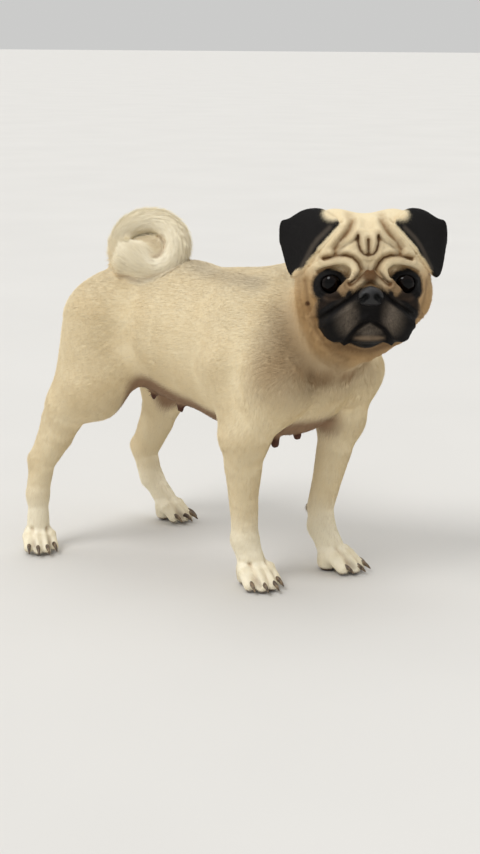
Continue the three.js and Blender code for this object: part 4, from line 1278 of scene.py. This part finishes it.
def eye_material():
    """A dark brown iris round a black pupil, under a wet cornea. `turn` is the angle off the eye's axis."""
    board = Board("eyeball", 0.05, IOR=1.3, Specular_IOR_Level=0.35)
    turn = board.mark("turn")
    fibres = board.noise(900, 3.0)
    iris = board.blend(shade(10, 6, 5), shade(22, 12, 8), fibres.over(0.35, 0.7))
    colour = board.blend(shade(4, 3, 3), iris, turn.over(0.36, 0.46))
    colour = board.blend(colour, shade(8, 5, 4), turn.over(0.6, 0.74))
    colour = board.blend(colour, shade(22, 16, 14), turn.over(1.0, 1.2))
    return board.finish(Base_Color=colour)


NOSE_ROUGHNESS = 0.38


def nose_material():
    wet = {"Specular_IOR_Level": 0.36, "Coat_Weight": 0.1, "Coat_Roughness": 0.2}
    board = Board("nose_leather_wet", NOSE_ROUGHNESS, **wet)
    pebble_size = {"Vector": board.place(), "Scale": 1300.0}
    pebbles = board.node("ShaderNodeTexVoronoi", {"feature": "F1"}, pebble_size, "Distance")
    colour = board.blend(shade(9, 8, 9), shade(22, 20, 21), pebbles.over(0.1, 0.7))
    # Painted shade: near black inside the nostrils
    colour = board.blend(colour, shade(2, 2, 2), board.mark("nostril"))
    roughness = board.mark("nostril") * 0.55 + NOSE_ROUGHNESS
    return board.finish(Base_Color=colour, Roughness=roughness, Normal=board.bump(1 - pebbles, 0.0004, 0.6))


def claw_material():
    board = Board("claw_horn_dark", 0.38)
    streaks = board.noise(300, 3.0, (1, 1, 0.3))
    colour = board.blend(shade(70, 56, 44), shade(150, 128, 100), streaks.over(0.35, 0.75))
    return board.finish(Base_Color=colour, Normal=board.bump(streaks, 0.0002, 0.5))


def floor_material():
    board = Board("studio_floor", 0.8)
    colour = board.blend(shade(214, 212, 208), shade(222, 220, 216), board.noise(3, 2.0))
    return board.finish(Base_Color=colour)


# The coat: short tufts scattered over the skin by Geometry Nodes

TUFTS_PER_SQUARE_METRE = 1150000.0
TUFT_WIDTH = 0.0009
TUFT_FLATNESS = 0.25

# How far a tuft may turn from the lie of the coat, and how far that leaves the skin
WOBBLE = 0.08
LIFT = 0.05
TAIL_LIFT = 0.15

# Share of the full width that a tuft has on the head and paws, and on the face, where tufts stand closer
FINE_TUFT = 0.6
FINEST_TUFT = 0.36
FACE_CLOSER = 3.2

# Length of hair in millimetres
HAIR = {"body": 6.8, "head": 4.5, "face": 2.3, "legs": 6.0, "paws": 3.6, "tail": 13.0, "ears": 1.8}


def coat_tree(material):
    """Tufts on a skin: flat three-sided blades rooted in it, each laid along `lie`."""
    tree = bpy.data.node_groups.new("short_coat", "GeometryNodeTree")
    inputs = {"Skin": "Geometry", "Per square metre": "Float", "Width": "Float", "Seed": "Int"}
    for name, kind in inputs.items():
        tree.interface.new_socket(name, in_out="INPUT", socket_type=f"NodeSocket{kind}")
    tree.interface.new_socket("Tufts", in_out="OUTPUT", socket_type="NodeSocketGeometry")
    given = tree.nodes.new("NodeGroupInput")
    result = tree.nodes.new("NodeGroupOutput")

    def node(kind, settings=None, **values):
        named_values = {key.replace("_", " "): value for key, value in values.items()}
        return add_node(tree, kind, settings, named_values)

    def named(name, kind="FLOAT"):
        return node("GeometryNodeInputNamedAttribute", {"data_type": kind}, Name=name).outputs["Attribute"]

    def maths(operation, a, b, kind="ShaderNodeMath"):
        return add_node(tree, kind, {"operation": operation}, {0: a, 1: b}).outputs[0]

    def product(a, b):
        return maths("MULTIPLY", a, b)

    def chance(low, high, offset):
        seed = maths("ADD", given.outputs["Seed"], float(offset))
        made = node("FunctionNodeRandomValue", {"data_type": "FLOAT"}, Seed=seed)
        made.inputs[2].default_value = low
        made.inputs[3].default_value = high
        return made.outputs[1]

    roots = node(
        "GeometryNodeDistributePointsOnFaces",
        {"distribute_method": "RANDOM"},
        Mesh=given.outputs["Skin"],
        Density=product(given.outputs["Per square metre"], named("thickness")),
        Seed=given.outputs["Seed"],
    )
    tinted = node(
        "GeometryNodeStoreNamedAttribute",
        {"data_type": "FLOAT", "domain": "POINT"},
        Geometry=roots.outputs["Points"],
        Name="tint",
        Value=chance(0.0, 1.0, 11),
    )
    wobble = node("FunctionNodeRandomValue", {"data_type": "FLOAT_VECTOR"}, Seed=given.outputs["Seed"])
    wobble.inputs[0].default_value = (-WOBBLE, -WOBBLE, -WOBBLE)
    wobble.inputs[1].default_value = (WOBBLE, WOBBLE, WOBBLE)
    heading = maths("ADD", named("lie", "FLOAT_VECTOR"), wobble.outputs[0], "ShaderNodeVectorMath")
    along = node("FunctionNodeAlignRotationToVector", {"axis": "Z"}, Vector=heading)
    flat = node(
        "FunctionNodeAlignRotationToVector",
        {"axis": "Y", "pivot_axis": "Z"},
        Rotation=along.outputs[0],
        Vector=roots.outputs["Normal"],
    )
    length = product(named("hair"), chance(0.7, 1.25, 23))
    width = product(product(given.outputs["Width"], named("wide")), chance(0.7, 1.2, 31))
    scale = node("ShaderNodeCombineXYZ", X=width, Y=product(width, TUFT_FLATNESS), Z=length)
    tuft = node("GeometryNodeMeshCone", Vertices=3, Radius_Top=0.0, Radius_Bottom=0.5, Depth=1.0)
    placed = node(
        "GeometryNodeInstanceOnPoints",
        Points=tinted.outputs[0],
        Instance=tuft.outputs["Mesh"],
        Rotation=flat.outputs[0],
        Scale=scale.outputs[0],
    )
    solid = node("GeometryNodeRealizeInstances", Geometry=placed.outputs[0])
    dressed = node("GeometryNodeSetMaterial", Geometry=solid.outputs[0], Material=material)
    tree.links.new(dressed.outputs[0], result.inputs["Tufts"])
    return tree


def set_input(modifier, name, value):
    for socket in modifier.node_group.interface.items_tree:
        if socket.name == name and socket.in_out == "INPUT":
            modifier[socket.identifier] = value


# The patch of the skin's map that a tuft takes, and where its four corners lie in it
TUFT_PATCH = 0.003
TUFT_CORNERS = [(0.0, 0.5), (-0.5, -0.5), (0.5, -0.5), (0.0, -0.2)]


def grow_coat(name, skin, tree, values, thickness):
    """One piece of coat: tufts where `thickness` is above 0, as a plain mesh with its OFBake map."""
    skin.data.attributes["thickness"].data.foreach_set("value", thickness.astype(np.float32))
    modifier = skin.modifiers.new("coat", "NODES")
    modifier.node_group = tree
    for socket, value in values.items():
        set_input(modifier, socket, value)
    ready = skin.evaluated_get(bpy.context.evaluated_depsgraph_get())
    mesh = bpy.data.meshes.new_from_object(ready)
    skin.modifiers.remove(modifier)
    mesh.name = name
    lay_tufts_on_map(mesh)
    points = read_points(mesh)
    points[:, 2] = np.maximum(points[:, 2], TUFT_GAP / 1000)
    mesh.vertices.foreach_set("co", points.ravel())
    piece = bpy.data.objects.new(name, mesh)
    bpy.context.scene.collection.objects.link(piece)
    return piece


def lay_tufts_on_map(mesh):
    """Turns the root's place on the skin's map into a small patch of it for each tuft."""
    root = mesh.attributes["OFBake"]
    places = np.empty(len(mesh.vertices) * 2, np.float32)
    root.data.foreach_get("vector", places)
    places = places.reshape(-1, 2)
    mesh.attributes.remove(root)
    corner = np.tile(np.array(TUFT_CORNERS), (len(places) // len(TUFT_CORNERS), 1))
    places = places + TUFT_PATCH * corner
    at = np.empty(len(mesh.loops), np.int32)
    mesh.loops.foreach_get("vertex_index", at)
    layer = mesh.uv_layers.new(name="OFBake")
    layer.uv.foreach_set("vector", np.ascontiguousarray(places[at], np.float32).ravel())


# Unwrapping: the skin is taken apart by the way it faces, and each part laid out on its own

FACING = math.radians(66)
PART_GAP = 0.002


def unwrap(piece):
    """Lays the skin's own shape out flat on its OFBake map."""
    piece.data.uv_layers.new(name="OFBake")
    bpy.context.view_layer.objects.active = piece
    piece.select_set(True)
    bpy.ops.object.mode_set(mode="EDIT")
    bpy.ops.mesh.select_all(action="SELECT")
    bpy.ops.uv.smart_project(angle_limit=FACING, island_margin=PART_GAP)
    bpy.ops.object.mode_set(mode="OBJECT")
    piece.select_set(False)


# The part of the head, in its own axes, that holds the creases
CREASED_BOX = ((30, -44, -58), (200, 44, 52))


def divide_face(points, faces):
    """Splits the quads of the face once more, where its creases are."""
    mesh = bpy.data.meshes.new("face")
    mesh.from_pydata(points.tolist(), [], faces)
    shell = bmesh.new()
    shell.from_mesh(mesh)
    is_face = in_box(to_head(points), *CREASED_BOX)
    edges = [edge for edge in shell.edges if all(is_face[v.index] for v in edge.verts)]
    bmesh.ops.subdivide_edges(shell, edges=edges, cuts=1, use_grid_fill=True)
    shell.to_mesh(mesh)
    shell.free()
    finer = read_points(mesh), [list(face.vertices) for face in mesh.polygons]
    bpy.data.meshes.remove(mesh)
    return finer


def make_skin():
    raw, index = extract(flesh, SKIN_LOW, SKIN_HIGH, COARSE_STEP, is_detailed)
    faces = clean_faces(index)
    points = settle(flesh, raw, edge_pairs(faces), 3)
    points, faces = divide_face(points, faces)
    points = settle(flesh, points, edge_pairs(faces), 2)
    points[:, 2] = np.maximum(points[:, 2], SOLE_GAP)
    skin = closed_mesh(points, faces, "skin")
    unwrap(skin)
    skin.data.materials.append(skin_material())
    return skin


def dress_skin(skin):
    mesh = skin.data
    points = read_points(mesh) * 1000 - SHIFT
    normals = read_points(mesh, "normal")
    edges = np.empty(len(mesh.edges) * 2, int)
    mesh.edges.foreach_get("vertices", edges)
    marks, lie, is_head, on_tail, on_ear = mark_skin(mesh, points, normals, edges.reshape(-1, 2))
    local = to_head(points)

    face_front = is_head * smooth(local[:, 0], 22, 46)
    parts = {
        "head": is_head,
        "face": face_front,
        "legs": 1 - smooth(points[:, 2], 60, 150),
        "paws": 1 - smooth(points[:, 2], 14, 40),
        "tail": on_tail,
        "ears": np.maximum(on_ear, smooth(local[:, 2], 44, 54) * is_head),
    }
    length = HAIR["body"]
    for part, amount in parts.items():
        length = mix(length, HAIR[part], amount)
    wide = mix(1.0, FINE_TUFT, np.maximum(is_head, 1 - smooth(points[:, 2], 14, 60)))
    wide = mix(wide, FINEST_TUFT, face_front)
    length *= 1 - 0.5 * np.maximum(marks["crease_shadow_lines"], marks["mask"] * 0.3)
    set_values(mesh, "hair", length / 1000)
    set_values(mesh, "wide", wide)
    bare = np.max([marks["belly"] * 0.85, marks["teat"], marks["rim"], marks["lip"], marks["seam_shadow"]], axis=0)
    thickness = mix(1.0, FACE_CLOSER, face_front) * (1 - np.clip(bare, 0, 1)) * (1 - 0.6 * marks["crease_shadow_lines"])
    thickness *= smooth(ellipsoid(NOSE, NOSE_HALF)(local), 0.8, 2.5) * smooth(points[:, 2], 1.5, 4)
    lift = mix(LIFT, TAIL_LIFT, on_tail)[:, None]
    set_values(mesh, "lie", lie + lift * normals)
    set_values(mesh, "thickness", thickness)
    return points, is_head, on_tail, thickness


COAT_PIECES = (
    "coat_shoulder_right",
    "coat_shoulder_left",
    "coat_ribs_right",
    "coat_ribs_left",
    "coat_rump_right",
    "coat_rump_left",
    "coat_forelegs",
    "coat_hindlegs",
    "coat_tail",
    "coat_head_right",
    "coat_head_left",
    "coat_face_right",
    "coat_face_left",
)
FIRST_LEGS = COAT_PIECES.index("coat_forelegs")
TAIL_PIECE = COAT_PIECES.index("coat_tail")
FIRST_HEAD = COAT_PIECES.index("coat_head_right")


def coat_zones(points, is_head, on_tail):
    """Which of COAT_PIECES each point belongs to. The coat is in pieces so that each stays light."""
    x, y, z = points.T
    zone = np.where(x > 40, 0, np.where(x > -60, 1, 2)) * 2 + (y > 0)
    zone = np.where(z < 140, FIRST_LEGS + (x < 0), zone)
    zone = np.where(on_tail > 0.5, TAIL_PIECE, zone)
    ahead, left, _ = to_head(points).T
    return np.where(is_head > 0.5, FIRST_HEAD + (left > 0) + 2 * (ahead > 34), zone)


def make_coat(skin):
    points, is_head, on_tail, thickness = dress_skin(skin)
    zone = coat_zones(points, is_head, on_tail)
    tree = coat_tree(tuft_material())
    pieces = []
    for number, name in enumerate(COAT_PIECES):
        values = {"Per square metre": TUFTS_PER_SQUARE_METRE, "Width": TUFT_WIDTH, "Seed": 7 + number}
        pieces.append(grow_coat(name, skin, tree, values, thickness * (zone == number)))
    return pieces


def spun(start, rings, end):
    """Points and faces of a closed form: a first point, rings with as many points each, and a last point."""
    around = len(rings[0])
    points = np.vstack([[start], *rings, [end]])
    last = len(points) - 1
    faces = []
    for step in range(around):
        after = (step + 1) % around
        faces.append((0, 1 + step, 1 + after))
        for root in range(1, last - around, around):
            faces.append((root + step, root + around + step, root + around + after, root + after))
        faces.append((last - around + step, last, last - around + after))
    return points, faces


def circle(across, up, count):
    """Rays of a circle, turning from `across` to `up`."""
    turn = (np.arange(count) * 2 * math.pi / count)[:, None]
    return np.cos(turn) * across + np.sin(turn) * up


def upright(forward):
    """Two directions square to `forward`: level to its left, and up."""
    left = np.cross((0, 0, 1), forward)
    left /= np.linalg.norm(left)
    return left, np.cross(forward, left)


EYE_OUTWARD = math.radians(12)
EYE_PLAY = 0.15
CORNEA_RISE = 0.5
CORNEA_EDGE = (0.1, 1.15)
EYE_RINGS = 40
EYE_AROUND = 48


def make_eye(name, side):
    """An eyeball with its cornea standing proud, its axis turned a little outward."""
    out = EYE_OUTWARD * side
    forward = np.array([math.cos(out), math.sin(out), -0.03])
    forward /= np.linalg.norm(forward)
    rays = circle(*upright(forward), EYE_AROUND)
    angles = np.arange(EYE_RINGS + 1) * math.pi / EYE_RINGS
    bulges = EYE_RADIUS - EYE_PLAY + CORNEA_RISE * (1 - smooth(angles, *CORNEA_EDGE))
    rings = [
        EYE * (1, side, 1) + bulge * (math.cos(angle) * forward + math.sin(angle) * rays)
        for angle, bulge in zip(angles, bulges)
    ]
    points, faces = spun(rings[0][0], rings[1:-1], rings[-1][0])
    eye = mesh_object(name, from_head(points), faces)
    set_values(eye.data, "turn", np.r_[0, np.repeat(angles[1:-1], EYE_AROUND), math.pi])
    return eye


def nowhere(points):
    return np.zeros(len(points), bool)


def make_nose():
    clay = nose_clay()
    reach = np.array(NOSE_HALF) + 3
    points, index = extract(clay, NOSE - reach, NOSE + reach, NOSE_STEP, nowhere)
    faces = clean_faces(index)
    points = settle(clay, points, edge_pairs(faces), 2)
    leather = closed_mesh(from_head(points), faces, "nose_leather")
    local = to_head(read_points(leather.data) * 1000 - SHIFT)
    # Where the nostrils are: painted shade inside them, and rougher leather
    set_values(leather.data, "nostril", 1 - smooth(chain(NOSTRIL)(folded(local)), 0.1, 0.9))
    return leather


CLAW_REACH = 10.5
CLAW_DROP = 5
CLAW_HEIGHT = 9.5
CLAW_ROOT_RADIUS = 2.6
CLAW_TIP_RADIUS = 0.8
CLAW_NARROW = 0.8
CLAW_RINGS = 10
CLAW_AROUND = 12


def make_claw(name, paw, toe):
    """A short bent horn that leaves the front of its toe and ends clear of the floor."""
    across, ahead, _ = toe
    yaw = math.radians(paw["turn"] + across * 0.6)
    forward = np.array([math.cos(yaw), math.sin(yaw), 0])
    start = paw_point(paw, ahead + 7, across, CLAW_HEIGHT)
    rings = []
    for t in np.linspace(0, 1, CLAW_RINGS):
        dip = math.radians(-20 - 45 * t)
        left, up = upright(forward * math.cos(dip) + (0, 0, math.sin(dip)))
        centre = start + forward * CLAW_REACH * t - (0, 0, CLAW_DROP * t * t)
        radius = mix(CLAW_ROOT_RADIUS, CLAW_TIP_RADIUS, t * t)
        rings.append(centre + radius * circle(CLAW_NARROW * left, -up, CLAW_AROUND))
    tip = start + forward * (CLAW_REACH + 0.7) - (0, 0, CLAW_DROP + 0.6)
    return mesh_object(name, *spun(start, rings, tip))


def make_camera():
    camera = bpy.data.objects.new("camera", bpy.data.cameras.new("camera"))
    bpy.context.scene.collection.objects.link(camera)
    camera.location = (Vector(CAMERA_PLACE) + Vector(SHIFT)) / 1000
    level = math.cos(CAMERA_DIP)
    aim = (-math.sin(CAMERA_HEADING) * level, math.cos(CAMERA_HEADING) * level, -math.sin(CAMERA_DIP))
    camera.rotation_euler = Vector(aim).to_track_quat("-Z", "Y").to_euler()
    camera.data.sensor_fit = "VERTICAL"
    camera.data.sensor_height = SENSOR_HEIGHT
    camera.data.lens = CAMERA_FOCAL_PIXELS / PHOTO_HEIGHT * SENSOR_HEIGHT
    bpy.context.scene.camera = camera


# Each sun: the way it shines from, its strength, and how many degrees wide it is
SUNS = {
    "key": ((-0.3, -1.9, 2.7), 1.25, 24),
    "top": ((-0.2, 0.7, 2.6), 0.65, 50),
    "fill": ((-2.6, -0.9, 1.4), 0.25, 50),
}
SKY_COLOUR = (0.88, 0.88, 0.87, 1)
SKY_STRENGTH = 0.68
FLOOR_HALF = 40


def make_light(name, towards, strength, softness):
    """A far, wide light, so that the floor is as bright at the horizon as at the paws."""
    lamp = bpy.data.lights.new(name, "SUN")
    lamp.energy = strength
    lamp.angle = math.radians(softness)
    light = bpy.data.objects.new(name, lamp)
    light.location = Vector(towards)
    light.rotation_euler = Vector(towards).to_track_quat("Z", "Y").to_euler()
    bpy.context.scene.collection.objects.link(light)


def make_studio():
    for name, sun in SUNS.items():
        make_light(name, *sun)
    bpy.context.scene.view_settings.view_transform = "Standard"
    world = bpy.data.worlds.new("studio")
    world.use_nodes = True
    sky = world.node_tree.nodes["Background"].inputs
    sky["Color"].default_value = SKY_COLOUR
    sky["Strength"].default_value = SKY_STRENGTH
    bpy.context.scene.world = world
    shell = bmesh.new()
    bmesh.ops.create_grid(shell, x_segments=8, y_segments=8, size=FLOOR_HALF)
    mesh = bpy.data.meshes.new("floor")
    shell.to_mesh(mesh)
    shell.free()
    floor = bpy.data.objects.new("floor", mesh)
    bpy.context.scene.collection.objects.link(floor)
    mesh.materials.append(floor_material())
    floor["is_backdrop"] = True


def animal_to_frame():
    """The move from the animal's own axes to the frame's, read off the two eyes."""
    corners = [np.array(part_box(name)) * 1000 for name in ("eye_left", "eye_right")]
    return np.mean(corners, axis=(0, 1)) - from_head((EYE[0], 0, EYE[2]))


FLESH_NODES = (
    ["torso", "neck", "head", "ear_left", "ear_right", "tail_root", "tail_curl", "tail_tip"]
    + [f"{part}_{side}" for part in ("foreleg", "thigh", "shank") for side in ("left", "right")]
    + [f"paw_{name}" for name in PAWS]
)

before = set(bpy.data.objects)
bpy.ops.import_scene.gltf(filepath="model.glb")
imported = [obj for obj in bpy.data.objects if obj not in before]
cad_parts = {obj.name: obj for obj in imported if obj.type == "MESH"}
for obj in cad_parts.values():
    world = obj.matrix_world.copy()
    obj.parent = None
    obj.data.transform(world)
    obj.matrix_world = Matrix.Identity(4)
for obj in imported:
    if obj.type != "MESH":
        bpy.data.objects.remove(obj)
cad_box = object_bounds()
SHIFT = animal_to_frame()

make_camera()
make_studio()

body_skin = make_skin()
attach(body_skin, "root")
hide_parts(*FLESH_NODES)
for tufts in make_coat(body_skin):
    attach(tufts, "root")

eyeball = eye_material()
for eye_name, eye_side in (("eye_left", 1), ("eye_right", -1)):
    globe = make_eye(f"{eye_name}_globe", eye_side)
    globe.data.materials.append(eyeball)
    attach(globe, "root")
    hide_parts(eye_name)

nose = make_nose()
nose.data.materials.append(nose_material())
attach(nose, "root")
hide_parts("nose")

horn = claw_material()
for paw_name, paw_form in PAWS.items():
    for toe_number, toe_form in enumerate(TOES, 1):
        claw_name = f"claw_{paw_name}_{toe_number}"
        claw = make_claw(f"{claw_name}_horn", paw_form, toe_form)
        claw.data.materials.append(horn)
        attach(claw, "root")
        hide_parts(claw_name)

boxes = {"cad": cad_box, "visual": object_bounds()}
{name: [[float(v) for v in corner] for corner in box] for name, box in boxes.items()}
